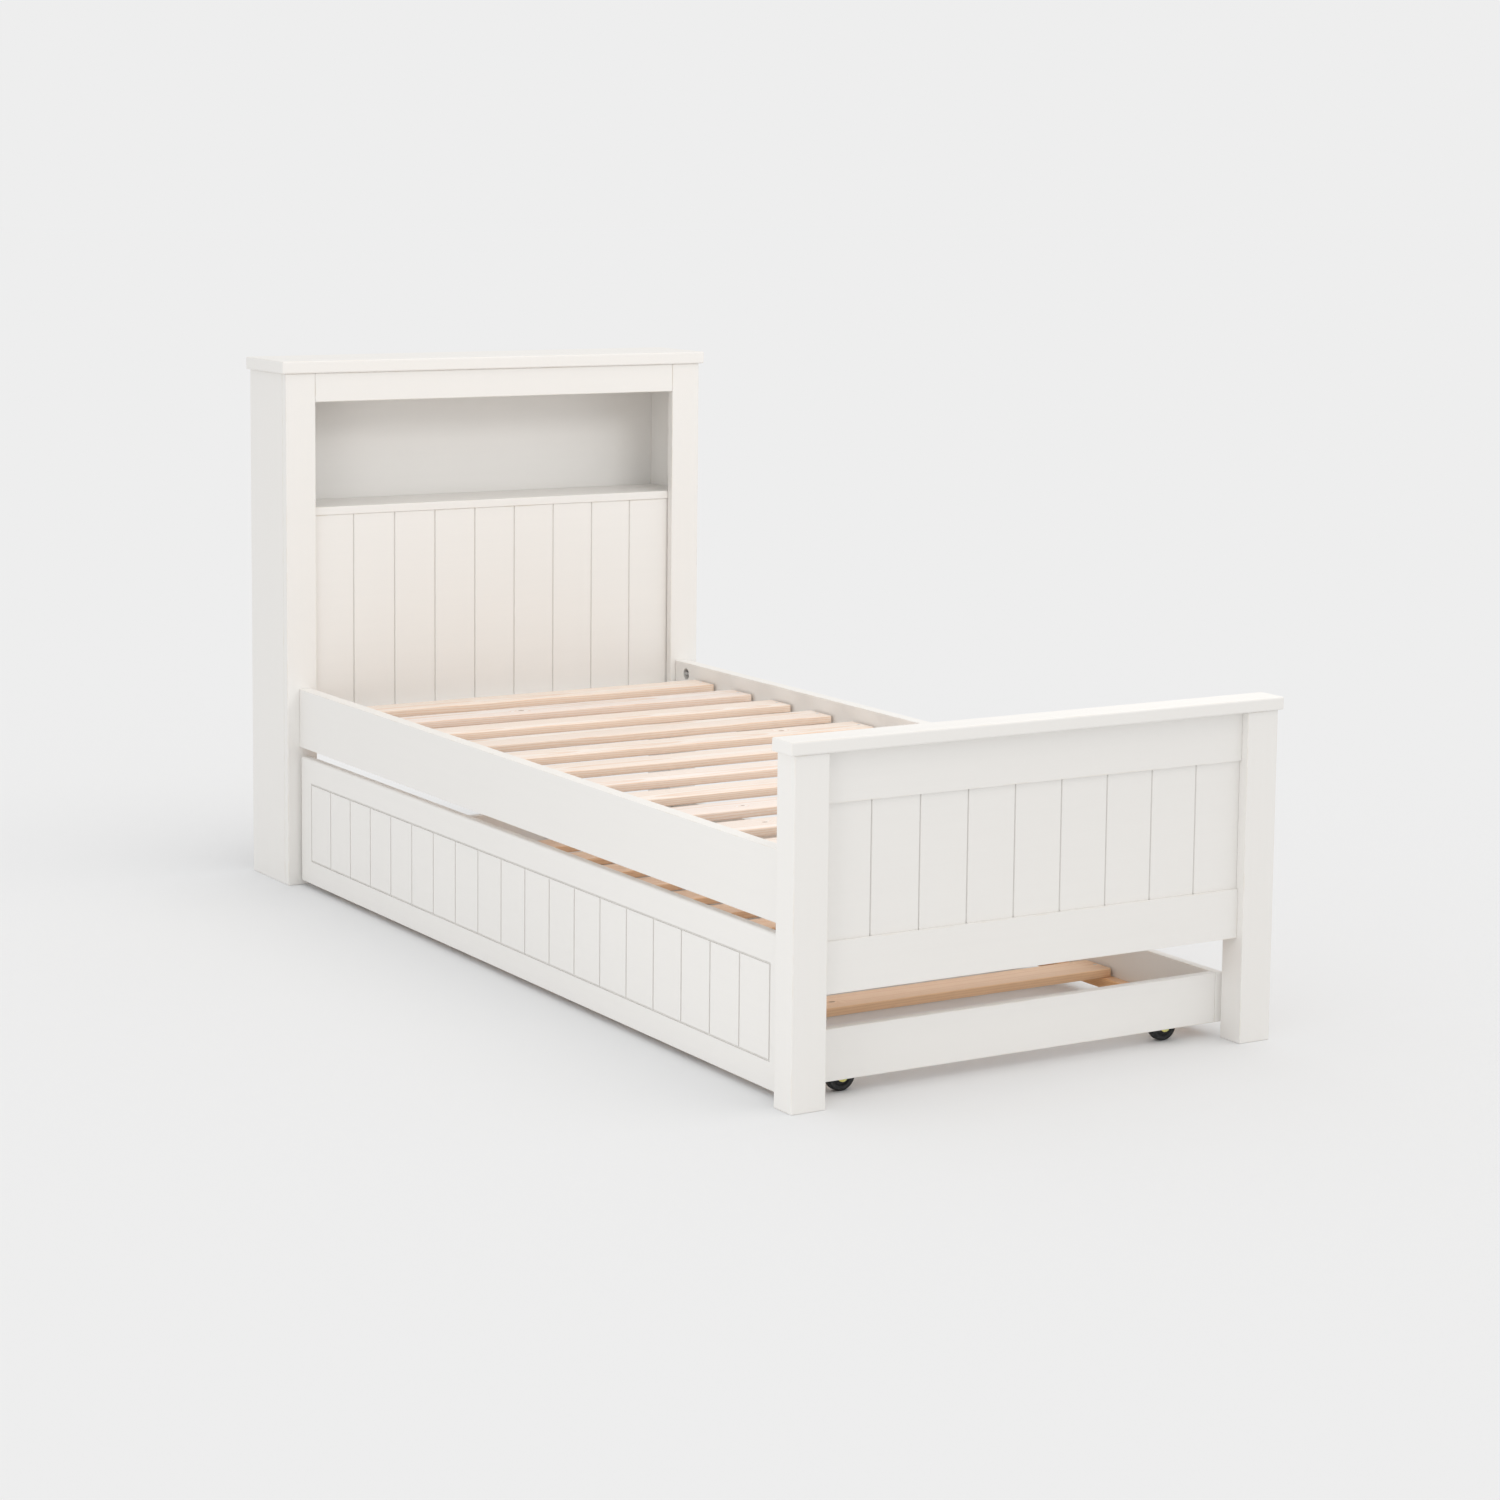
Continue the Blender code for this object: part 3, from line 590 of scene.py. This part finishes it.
def facing(place, direction, spin=0.0):
    """A matrix that puts a shape's Z axis along a direction at a place."""
    turn = Vector(direction).to_track_quat("Z", "Y").to_matrix().to_4x4()
    return Matrix.Translation(place) @ turn @ Matrix.Rotation(spin, 4, "Z")


def fill_between(shape, outer, inner):
    """Fills the flat ring between two loops of points."""
    ends = [edge for edge in shape.edges
            if all(vertex in outer for vertex in edge.verts) or all(vertex in inner for vertex in edge.verts)]
    bmesh.ops.triangle_fill(shape, use_beauty=True, use_dissolve=False, edges=ends)


def cross_outline(reach, half_width):
    """The twelve corners of a cross recess."""
    points = []
    for step in range(4):
        turn = Matrix.Rotation(math.radians(90 * step), 2)
        for corner in ((reach, -half_width), (reach, half_width), (half_width, half_width)):
            points.append(turn @ Vector(corner))
    return points


def screw_head(diameter, stand=0.00025):
    """A countersunk screw's head with a cross recess, whose top stands a little proud of height 0."""
    radius = diameter / 2
    deep = stand - diameter * 0.22
    shape = bmesh.new()
    sides = 24
    rim = [shape.verts.new((radius * math.cos(2 * math.pi * step / sides),
                            radius * math.sin(2 * math.pi * step / sides), -stand))
           for step in range(sides)]
    top = [shape.verts.new((vertex.co.x * 0.93, vertex.co.y * 0.93, stand)) for vertex in rim]
    cross = [shape.verts.new((point.x, point.y, stand))
             for point in cross_outline(radius * 0.62, radius * 0.13)]
    floor = [shape.verts.new((vertex.co.x * 0.72, vertex.co.y * 0.72, deep)) for vertex in cross]
    for number in range(sides):
        shape.faces.new((rim[number - 1], rim[number], top[number], top[number - 1]))
    for number in range(len(cross)):
        shape.faces.new((cross[number - 1], cross[number], floor[number], floor[number - 1]))
    shape.faces.new(floor)
    shape.faces.new(list(reversed(rim)))
    fill_between(shape, top, cross)
    return shape


def pan_head(diameter, height):
    """A domed rivet or screw head."""
    radius = diameter / 2
    steps = 6
    outline = [(0, -height * 0.2), (radius * 0.96, -height * 0.2), (radius, 0)]
    for step in range(1, steps):
        angle = math.pi / 2 * step / steps
        outline.append((radius * math.cos(angle), height * math.sin(angle)))
    outline.append((0, height))
    return turned(outline, 28)


def hex_nut(across_flats, bore, height):
    """A hexagon nut with a plain bore, and chamfered faces."""
    shape = bmesh.new()

    def ring(radius, level, sides):
        angles = [2 * math.pi / sides * step for step in range(sides)]
        return [shape.verts.new((radius * math.cos(angle), radius * math.sin(angle), level))
                for angle in angles]

    circle = across_flats / math.sqrt(3)
    levels = ((0, 0.93), (height * 0.12, 1.0), (height * 0.88, 1.0), (height, 0.93))
    rings = [ring(circle * shrink, level, 6) for level, shrink in levels]
    hole = [ring(bore / 2, level, 12) for level in (0, height)]
    for lower, upper in zip(rings, rings[1:]):
        for number in range(6):
            shape.faces.new((lower[number - 1], lower[number], upper[number], upper[number - 1]))
    for number in range(12):
        shape.faces.new((hole[0][number], hole[0][number - 1], hole[1][number - 1], hole[1][number]))
    for outer, inner in ((rings[0], hole[0]), (rings[-1], hole[1])):
        fill_between(shape, outer, inner)
    return shape


def washer(bore, radius, thickness, taper=0.0):
    """A flat ring whose upper rim may be smaller than its lower one."""
    return turned([(bore, 0), (radius, 0), (radius - taper, thickness), (bore, thickness), (bore, 0)], 28)


def threaded_rod(diameter, length, pitch=0.001):
    """A bolt's end with rolled thread ridges."""
    radius = diameter / 2
    outline = [(0, 0), (radius * 0.84, 0)]
    height = pitch / 2
    while height < length - pitch:
        outline.append((radius, height))
        outline.append((radius * 0.84, height + pitch / 2))
        height += pitch
    outline.append((radius * 0.80, length))
    outline.append((0, length))
    return turned(outline, 20)


class BedOperator:
    """What every step of the build shares."""

    bl_options = {"REGISTER", "UNDO"}


class TRUNDLEBED_OT_paint(BedOperator, bpy.types.Operator):
    """Paint the headboard, footboard, side rails and trundle box"""

    bl_idname = "trundlebed.paint"
    bl_label = "Paint the boards"

    def execute(self, context):
        settings = context.scene.trundlebed_paint
        grooved = {
            "head_boards": upright_grooves,
            "foot_boards": upright_grooves,
            "trundle_front": routed_grooves,
        }
        bare = ("bed_slat", "trundle_slat", "trundle_ledger", "castor")
        for name, node in frame["nodes"].items():
            if name.startswith(bare):
                continue
            if name.startswith("side_rail"):
                # the pockets go toward near-black: painted shade in the recess, partly the bare wood of the
                # bore
                material = paint(name, settings, bolt_pockets, (0.035, 0.026, 0.02))
            else:
                material = paint(name, settings, grooved.get(name))
            for slot in node.material_slots:
                slot.material = material
        return {"FINISHED"}


def build_slats(stem, body, corner, settings, shade_tint=0.0):
    """Builds one set of slats in place of their CAD boards."""
    for number, name in enumerate(numbered(stem)):
        low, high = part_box(name)
        material = pine(f"pine_{name}", low, high, f"{stem} {number}", settings, shade_tint)
        shape = slat_shape(low, high, corner, settings.arris)
        slat = make_piece(f"{name}_planed", shape, material, body)
        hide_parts(name)


class TRUNDLEBED_OT_slats(BedOperator, bpy.types.Operator):
    """Build the pine slats of the bed and of the trundle"""

    bl_idname = "trundlebed.slats"
    bl_label = "Slats"

    def execute(self, context):
        settings = context.scene.trundlebed_pine
        build_slats("bed_slat_", "bed", BED_SLAT_CORNER, settings)
        # the trundle's slats are tinted darker and more orange: painted shade under the bed
        build_slats("trundle_slat_", "trundle", settings.trundle_corner, settings, TRUNDLE_SLAT_SHADE)
        return {"FINISHED"}


class TRUNDLEBED_OT_ledgers(BedOperator, bpy.types.Operator):
    """Give the trundle's slat ledgers their pine"""

    bl_idname = "trundlebed.ledgers"
    bl_label = "Trundle ledgers"

    def execute(self, context):
        settings = context.scene.trundlebed_pine
        for name in numbered("trundle_ledger_"):
            low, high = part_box(name)
            # the ledgers are tinted darker and more orange: painted shade inside the trundle
            material = pine(f"pine_{name}", low, high, name, settings, TRUNDLE_LEDGER_SHADE)
            for slot in frame["nodes"][name].material_slots:
                slot.material = material
        return {"FINISHED"}


class TRUNDLEBED_OT_slat_screws(BedOperator, bpy.types.Operator):
    """Drive one countersunk screw into each end of each slat"""

    bl_idname = "trundlebed.slat_screws"
    bl_label = "Slat screws"

    def execute(self, context):
        settings = context.scene.trundlebed_fittings
        material = bright_zinc("slat_screw_zinc")
        for stem, body in (("bed_slat_", "bed"), ("trundle_slat_", "trundle")):
            chance = random.Random(stem)
            shape = bmesh.new()
            for name in numbered(stem):
                low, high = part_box(name)
                for end, inward in ((low.x, 1), (high.x, -1)):
                    place = Vector((end + inward * settings.screw_from_end, (low.y + high.y) / 2, high.z))
                    turn = facing(place, (0, 0, 1), chance.uniform(0, 3))
                    added(shape, screw_head(settings.slat_screw), turn)
            make_piece(f"{stem}screws", shape, material, body)
        return {"FINISHED"}


class TRUNDLEBED_OT_ledger_screws(BedOperator, bpy.types.Operator):
    """Screw the ledgers to the side rails and to the trundle's long walls"""

    bl_idname = "trundlebed.ledger_screws"
    bl_label = "Ledger screws"

    def execute(self, context):
        material = bright_zinc("ledger_screw_zinc")
        for body, ledgers in (("bed", [f"slat_ledger_{side}" for side in SIDES]),
                              ("trundle", ["trundle_ledger_front", "trundle_ledger_back"])):
            chance = random.Random(body)
            shape = bmesh.new()
            for name in ledgers:
                low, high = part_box(name)
                inward = 1 if low.x < 0 else -1
                face = high.x if inward > 0 else low.x
                between = (high.y - low.y - 2 * LEDGER_SCREW_FROM_END) / (LEDGER_SCREWS - 1)
                for number in range(LEDGER_SCREWS):
                    along = low.y + LEDGER_SCREW_FROM_END + between * number
                    place = Vector((face, along, (low.z + high.z) / 2))
                    turn = facing(place, (inward, 0, 0), chance.uniform(0, 3))
                    added(shape, screw_head(LEDGER_SCREW_HEAD), turn)
            make_piece(f"{body}_ledger_screws", shape, material, body)
        return {"FINISHED"}


class TRUNDLEBED_OT_rail_bolts(BedOperator, bpy.types.Operator):
    """Put the connecting bolt, its nut and its washer into each pocket of the side rails"""

    bl_idname = "trundlebed.rail_bolts"
    bl_label = "Connecting bolts"

    def execute(self, context):
        material = bright_zinc("connecting_bolt_zinc")
        for side in SIDES:
            low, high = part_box(f"side_rail_{side}")
            outward = -1 if side == "left" else 1
            inner = high.x if outward < 0 else low.x
            shape = bmesh.new()
            for end, toward in ((low.y, -1), (high.y, 1)):
                middle = Vector((inner + outward * POCKET_DEPTH * 0.55, end - toward * BOLT_FROM_END,
                                 high.z - BOLT_BELOW_TOP))
                wall = middle + Vector((0, toward * POCKET_RADIUS * 0.80, 0))
                back = Vector((0, -toward, 0))
                added(shape, threaded_rod(BOLT_THREAD, BOLT_END), facing(wall, back))
                added(shape, hex_nut(NUT_ACROSS_FLATS, BOLT_THREAD, NUT_HEIGHT),
                      facing(wall + back * NUT_OFF_WALL, back, 0.4))
                added(shape, washer(WASHER_BORE, WASHER_RADIUS, WASHER_THICKNESS),
                      facing(wall + back * WASHER_OFF_WALL, back))
            make_piece(f"connecting_bolts_{side}", shape, material, "bed")
        return {"FINISHED"}


class TRUNDLEBED_OT_back_pins(BedOperator, bpy.types.Operator):
    """Pin the thin back panel to the headboard"""

    bl_idname = "trundlebed.back_pins"
    bl_label = "Back panel pins"

    def execute(self, context):
        low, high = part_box("head_back_panel")
        shelf_low, shelf_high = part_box("head_shelf")
        left, right = low.x + PIN_FROM_EDGE, high.x - PIN_FROM_EDGE
        bottom, top = low.z + PIN_FROM_EDGE, high.z - PIN_FROM_EDGE
        across, up = (right - left) / (PIN_COLUMNS - 1), (top - bottom) / PIN_SPACES_UP
        points = []
        for level in (bottom, (shelf_low.z + shelf_high.z) / 2, top):
            points += [(left + across * number, level) for number in range(PIN_COLUMNS)]
        for column in (left, right):  # the shelf's row takes the place of the fourth
            points += [(column, bottom + up * number) for number in (1, 2, 3, 5, 6)]
        shape = bmesh.new()
        for along, level in points:
            added(shape, pan_head(PIN_HEAD, PIN_RISE), facing(Vector((along, high.y, level)), (0, 1, 0)))
        make_piece("head_back_pins", shape, bright_zinc("panel_pin_zinc"), "bed")
        return {"FINISHED"}


# ---- Castors ----


def ear_foot(across):
    """How low a cheek reaches, measured from the axle, at a place across its width."""
    away = abs(across)
    if away >= EAR_RADIUS:
        return away - EAR_RADIUS
    return -math.sqrt(EAR_RADIUS ** 2 - away ** 2)


def cheek_shape(half_width, top, upper_corner):
    """One flat cheek of a castor bracket, in X and Z, with round upper corners and a slight arris."""
    arris = 0.0003
    outline = []
    steps = 16
    for step in range(steps + 1):
        angle = math.pi * (1 + step / steps)
        outline.append((EAR_RADIUS * math.cos(angle), EAR_RADIUS * math.sin(angle)))
    outline.append((half_width, half_width - EAR_RADIUS))
    for step in range(7):
        angle = math.pi / 2 * step / 6
        outline.append((half_width - upper_corner + upper_corner * math.cos(angle),
                        top - upper_corner + upper_corner * math.sin(angle)))
    for step in range(7):
        angle = math.pi / 2 * (1 + step / 6)
        outline.append((-half_width + upper_corner + upper_corner * math.cos(angle),
                        top - upper_corner + upper_corner * math.sin(angle)))
    outline.append((-half_width, half_width - EAR_RADIUS))
    shape = bmesh.new()
    face = shape.faces.new([shape.verts.new((across, 0, up)) for across, up in outline])
    swept = bmesh.ops.extrude_face_region(shape, geom=[face])
    moved = [item for item in swept["geom"] if isinstance(item, bmesh.types.BMVert)]
    bmesh.ops.translate(shape, vec=(0, STEEL, 0), verts=moved)
    bmesh.ops.recalc_face_normals(shape, faces=shape.faces)
    rim = [edge for edge in shape.edges
           if edge.calc_face_angle() > math.radians(60)
           and abs(edge.verts[0].co.y - edge.verts[1].co.y) < STEEL / 2]
    bmesh.ops.bevel(shape, geom=rim, offset=arris, segments=2, profile=0.5, affect="EDGES")
    return shape


def fold_shape(half_width, roof, depth):
    """The roof of a bracket, folded down into its far cheek with a round bend."""
    middle_out, middle_up = depth - BEND, roof + STEEL - BEND
    outer, inner = [(STEEL, roof + STEEL)], [(STEEL, roof)]
    for path, radius in ((outer, BEND), (inner, BEND - STEEL)):
        for step in range(7):
            angle = math.pi / 2 * (1 - step / 6)
            path.append((middle_out + radius * math.cos(angle), middle_up + radius * math.sin(angle)))
    columns = [half_width * (number / 12 - 1) for number in range(25)]
    shape = bmesh.new()
    layers = []
    for path in (outer, inner):
        rows = [[shape.verts.new((across, out, up)) for across in columns] for out, up in path]
        out = path[-1][0]
        rows.append([shape.verts.new((across, out, ear_foot(across))) for across in columns])
        layers.append(rows)

    def strip(upper, lower):
        for number in range(len(upper) - 1):
            shape.faces.new((upper[number], upper[number + 1], lower[number + 1], lower[number]))

    for rows in layers:
        for upper, lower in zip(rows, rows[1:]):
            strip(upper, lower)
    one, other = layers
    for row in (0, -1):
        strip(one[row], other[row])
    for column in (0, -1):
        strip([row[column] for row in one], [row[column] for row in other])
    return shape


def wheel_shape(radius, half, shoulder, bore):
    """A moulded wheel, turned round Z: a round-shouldered tyre, a dished web, a rim bead and a hub boss."""
    boss = [(bore, half - 0.0002), (0.0075, half - 0.0002), (0.0085, half - 0.0012)]
    web = [(0.0095, half - 0.0028), (0.0165, half - 0.0032)]
    bead = [(0.0180, half - 0.0018), (0.0190, half - 0.0006), (0.0205, half)]
    side = boss + web + bead + [(radius - shoulder, half)]
    for step in range(1, 7):
        angle = math.pi / 2 * (1 - step / 6)
        side.append((radius - shoulder * (1 - math.cos(angle)), half - shoulder * (1 - math.sin(angle))))
    groove = [(radius, 0.0012), (radius - 0.0006, 0.0006)]
    upper = side + groove
    outline = upper + [(out, -up) for out, up in reversed(upper)] + [upper[0]]
    return turned(outline, 72)


class TRUNDLEBED_OT_castors(BedOperator, bpy.types.Operator):
    """Build the four castors: folded brackets, riveted axles, screws and wheels"""

    bl_idname = "trundlebed.castors"
    bl_label = "Castors"

    def execute(self, context):
        settings = context.scene.trundlebed_fittings
        plating, rubber = yellow_zinc(), black_rubber()
        rivet_metal = bright_zinc("rivet_zinc")
        for name in CASTORS:
            wheel_low, wheel_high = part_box(f"castor_wheel_{name}")
            low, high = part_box(f"castor_bracket_{name}")
            axle = (wheel_low + wheel_high) / 2
            at_foot = name.startswith("foot")
            wall = low.y if at_foot else high.y
            inward = 1 if at_foot else -1
            origin = Vector((axle.x, wall, axle.z))
            turn = Matrix.Translation(origin) @ Matrix.Rotation(0 if at_foot else math.pi, 4, "Z")
            half_width, depth = (high.x - low.x) / 2, high.y - low.y
            roof = wheel_high.z - axle.z + ROOF_OVER_WHEEL
            bracket = bmesh.new()
            added(bracket, cheek_shape(half_width, high.z - axle.z, BRACKET_CORNER), turn)
            added(bracket, fold_shape(half_width, roof, depth), turn)
            piece = make_piece(f"castor_bracket_{name}_folded", bracket, plating, "trundle")
            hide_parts(f"castor_bracket_{name}")
            rivets = bmesh.new()
            outside = Vector((axle.x, wall + inward * depth, axle.z))
            added(rivets, turned([(0, 0), (AXLE_RADIUS, 0), (AXLE_RADIUS, depth), (0, depth)], 28),
                  facing(origin, (0, inward, 0)))
            added(rivets, pan_head(settings.rivet, RIVET_RISE), facing(outside, (0, inward, 0)))
            added(rivets, pan_head(settings.rivet * 0.7, 0.0002), facing(origin, (0, -inward, 0)))
            for across in (-CASTOR_SCREW_FROM_AXLE, CASTOR_SCREW_FROM_AXLE):
                place = Vector((axle.x + across, wall + inward * STEEL, high.z - CASTOR_SCREW_BELOW_TOP))
                added(rivets, pan_head(CASTOR_SCREW_HEAD, CASTOR_SCREW_RISE), facing(place, (0, inward, 0)))
            make_piece(f"castor_rivets_{name}", rivets, rivet_metal, "trundle")
            # thin black rubber discs at both ends of the axle, which show as dark rings round it
            bush = bmesh.new()
            added(bush, washer(BUSH_BORE, *INNER_BUSH), facing(origin, (0, -inward, 0)))
            added(bush, washer(BUSH_BORE, *OUTER_BUSH), facing(outside, (0, inward, 0)))
            make_piece(f"castor_bushes_{name}", bush, rubber, "trundle")
            wheel = bmesh.new()
            radius, half = (wheel_high.z - wheel_low.z) / 2, (wheel_high.y - wheel_low.y) / 2
            added(wheel, wheel_shape(radius, half, settings.tyre_roundness, AXLE_RADIUS + AXLE_PLAY),
                  facing(axle, (0, inward, 0)))
            piece = make_piece(f"castor_wheel_{name}_moulded", wheel, rubber, f"wheel_{name}",
                               crease=28)
            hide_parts(f"castor_wheel_{name}")
        return {"FINISHED"}


# ---- Stage ----


def sun(name, direction, wanted, spread):
    """A soft sun along a direction, strong enough to give level ground the wanted red, green and blue."""
    light = bpy.data.lights.new(name, "SUN")
    light.energy = max(wanted) / -direction.z
    light.color = [part / max(wanted) for part in wanted]
    light.angle = math.radians(spread)
    lamp = bpy.data.objects.new(name, light)
    lamp.rotation_euler = Vector(direction).to_track_quat("-Z", "Y").to_euler()
    bpy.context.scene.collection.objects.link(lamp)


def lit_pieces(name, floor, starts=("",)):
    """A collection of the pieces whose names start with one of these, to link a light to."""
    lit = bpy.data.collections.new(name)
    for thing in list(bpy.context.scene.objects):
        if thing.type == "MESH" and thing is not floor and thing.name.startswith(starts):
            lit.objects.link(thing)
    return lit


def softbox(name, place, target, size, power, lit):
    """A rectangular softbox that lights the given pieces alone, so that the floor stays even."""
    light = bpy.data.lights.new(name, "AREA")
    light.shape = "RECTANGLE"
    light.size, light.size_y = size
    light.energy = power
    lamp = bpy.data.objects.new(name, light)
    lamp.location = place
    lamp.rotation_euler = (Vector(target) - Vector(place)).to_track_quat("-Z", "Y").to_euler()
    lamp.visible_camera = False
    lamp.light_linking.receiver_collection = lit
    bpy.context.scene.collection.objects.link(lamp)


class TRUNDLEBED_OT_stage(BedOperator, bpy.types.Operator):
    """Set the camera, the pale floor and the soft studio light"""

    bl_idname = "trundlebed.stage"
    bl_label = "Stage"

    def execute(self, context):
        settings = context.scene.trundlebed_stage
        camera = bpy.data.cameras.new("studio_camera")
        camera.lens = 82.261
        camera.sensor_width = 36.0
        camera.shift_y = -0.12
        camera.clip_end = 100
        seat = bpy.data.objects.new("studio_camera", camera)
        seat.location = (-3.4686, -5.8313, 1.5822)
        seat.rotation_euler = [math.radians(angle) for angle in (83.1459, -0.5836, -31.274)]
        context.scene.collection.objects.link(seat)
        context.scene.camera = seat

        shape = bmesh.new()
        bmesh.ops.create_grid(shape, x_segments=8, y_segments=8, size=60)
        mesh = bpy.data.meshes.new("studio_floor")
        shape.to_mesh(mesh)
        shape.free()
        finish = Finish("pale_floor")
        grit = finish.noise(finish.place, 60, 2.0)
        mesh.materials.append(finish.wear((*settings.floor, 1), 0.75 + 0.05 * grit, grit, 0.00002))
        finish.shader.inputs["Specular IOR Level"].default_value = 0.0
        floor = bpy.data.objects.new("studio_floor", mesh)
        context.scene.collection.objects.link(floor)

        world = bpy.data.worlds.new("studio_world")
        world.use_nodes = True
        background = world.node_tree.nodes["Background"]
        background.inputs["Color"].default_value = (*[settings.backdrop] * 3, 1)
        context.scene.world = world
        top = Vector((-0.28, 0.32, -1.0)).normalized()
        missing = [math.pi * settings.backdrop * (1 / part - 1) for part in settings.floor]
        sun("top_light", top, missing, 60)
        lit = lit_pieces("lit_by_softboxes", floor)
        low_lit = lit_pieces("lit_by_foot_softbox", floor, ("trundle", "castor"))
        for name, place, target, size, power, linked in (
            ("head_softbox", (0.60, -1.15, 2.0), (0.0, 0.94, 0.85), (0.9, 0.5), settings.head_box, lit),
            ("side_softbox", (-2.9, -1.9, 0.9), (-0.5, -0.6, 0.35), (1.2, 1.0), settings.side_box, lit),
            ("foot_softbox", (-1.2, -3.2, 0.55), (0.3, -1.0, 0.12), (1.0, 0.5), settings.foot_box, low_lit),
            ("cap_softbox", (0.9, -2.1, 2.6), (0.0, -1.1, 0.5), (0.8, 0.5), settings.cap_box, lit),
        ):
            softbox(name, place, target, size, power, linked)
        context.scene.view_settings.view_transform = "Standard"
        return {"FINISHED"}


class TRUNDLEBED_PT_panel(bpy.types.Panel):
    """Lists the steps that build the bed"""

    bl_idname = "TRUNDLEBED_PT_panel"
    bl_label = "Trundle Bed"
    bl_space_type = "VIEW_3D"
    bl_region_type = "UI"
    bl_category = "Trundle Bed"

    def draw(self, context):
        scene = context.scene
        for group in (scene.trundlebed_paint, scene.trundlebed_pine, scene.trundlebed_fittings,
                      scene.trundlebed_stage):
            box = self.layout.box()
            for key in group.__annotations__:
                box.prop(group, key)
        for operator in OPERATORS:
            self.layout.operator(operator.bl_idname)


GROUPS = {
    "trundlebed_paint": PaintSettings,
    "trundlebed_pine": PineSettings,
    "trundlebed_fittings": FittingSettings,
    "trundlebed_stage": StageSettings,
}
OPERATORS = (
    TRUNDLEBED_OT_paint,
    TRUNDLEBED_OT_slats,
    TRUNDLEBED_OT_ledgers,
    TRUNDLEBED_OT_slat_screws,
    TRUNDLEBED_OT_ledger_screws,
    TRUNDLEBED_OT_rail_bolts,
    TRUNDLEBED_OT_back_pins,
    TRUNDLEBED_OT_castors,
    TRUNDLEBED_OT_stage,
)


def register():
    for group in GROUPS.values():
        bpy.utils.register_class(group)
    for name, group in GROUPS.items():
        setattr(bpy.types.Scene, name, bpy.props.PointerProperty(type=group))
    for operator in OPERATORS:
        bpy.utils.register_class(operator)
    bpy.utils.register_class(TRUNDLEBED_PT_panel)


def unregister():
    bpy.utils.unregister_class(TRUNDLEBED_PT_panel)
    for operator in reversed(OPERATORS):
        bpy.utils.unregister_class(operator)
    for name in GROUPS:
        delattr(bpy.types.Scene, name)
    for group in reversed(list(GROUPS.values())):
        bpy.utils.unregister_class(group)


def main():
    register()
    for operator in OPERATORS:
        family, name = operator.bl_idname.split(".")
        if getattr(getattr(bpy.ops, family), name)() != {"FINISHED"}:
            raise RuntimeError(f"{operator.bl_label} did not finish")
    bpy.context.view_layer.update()


if __name__ == "__main__":
    main()
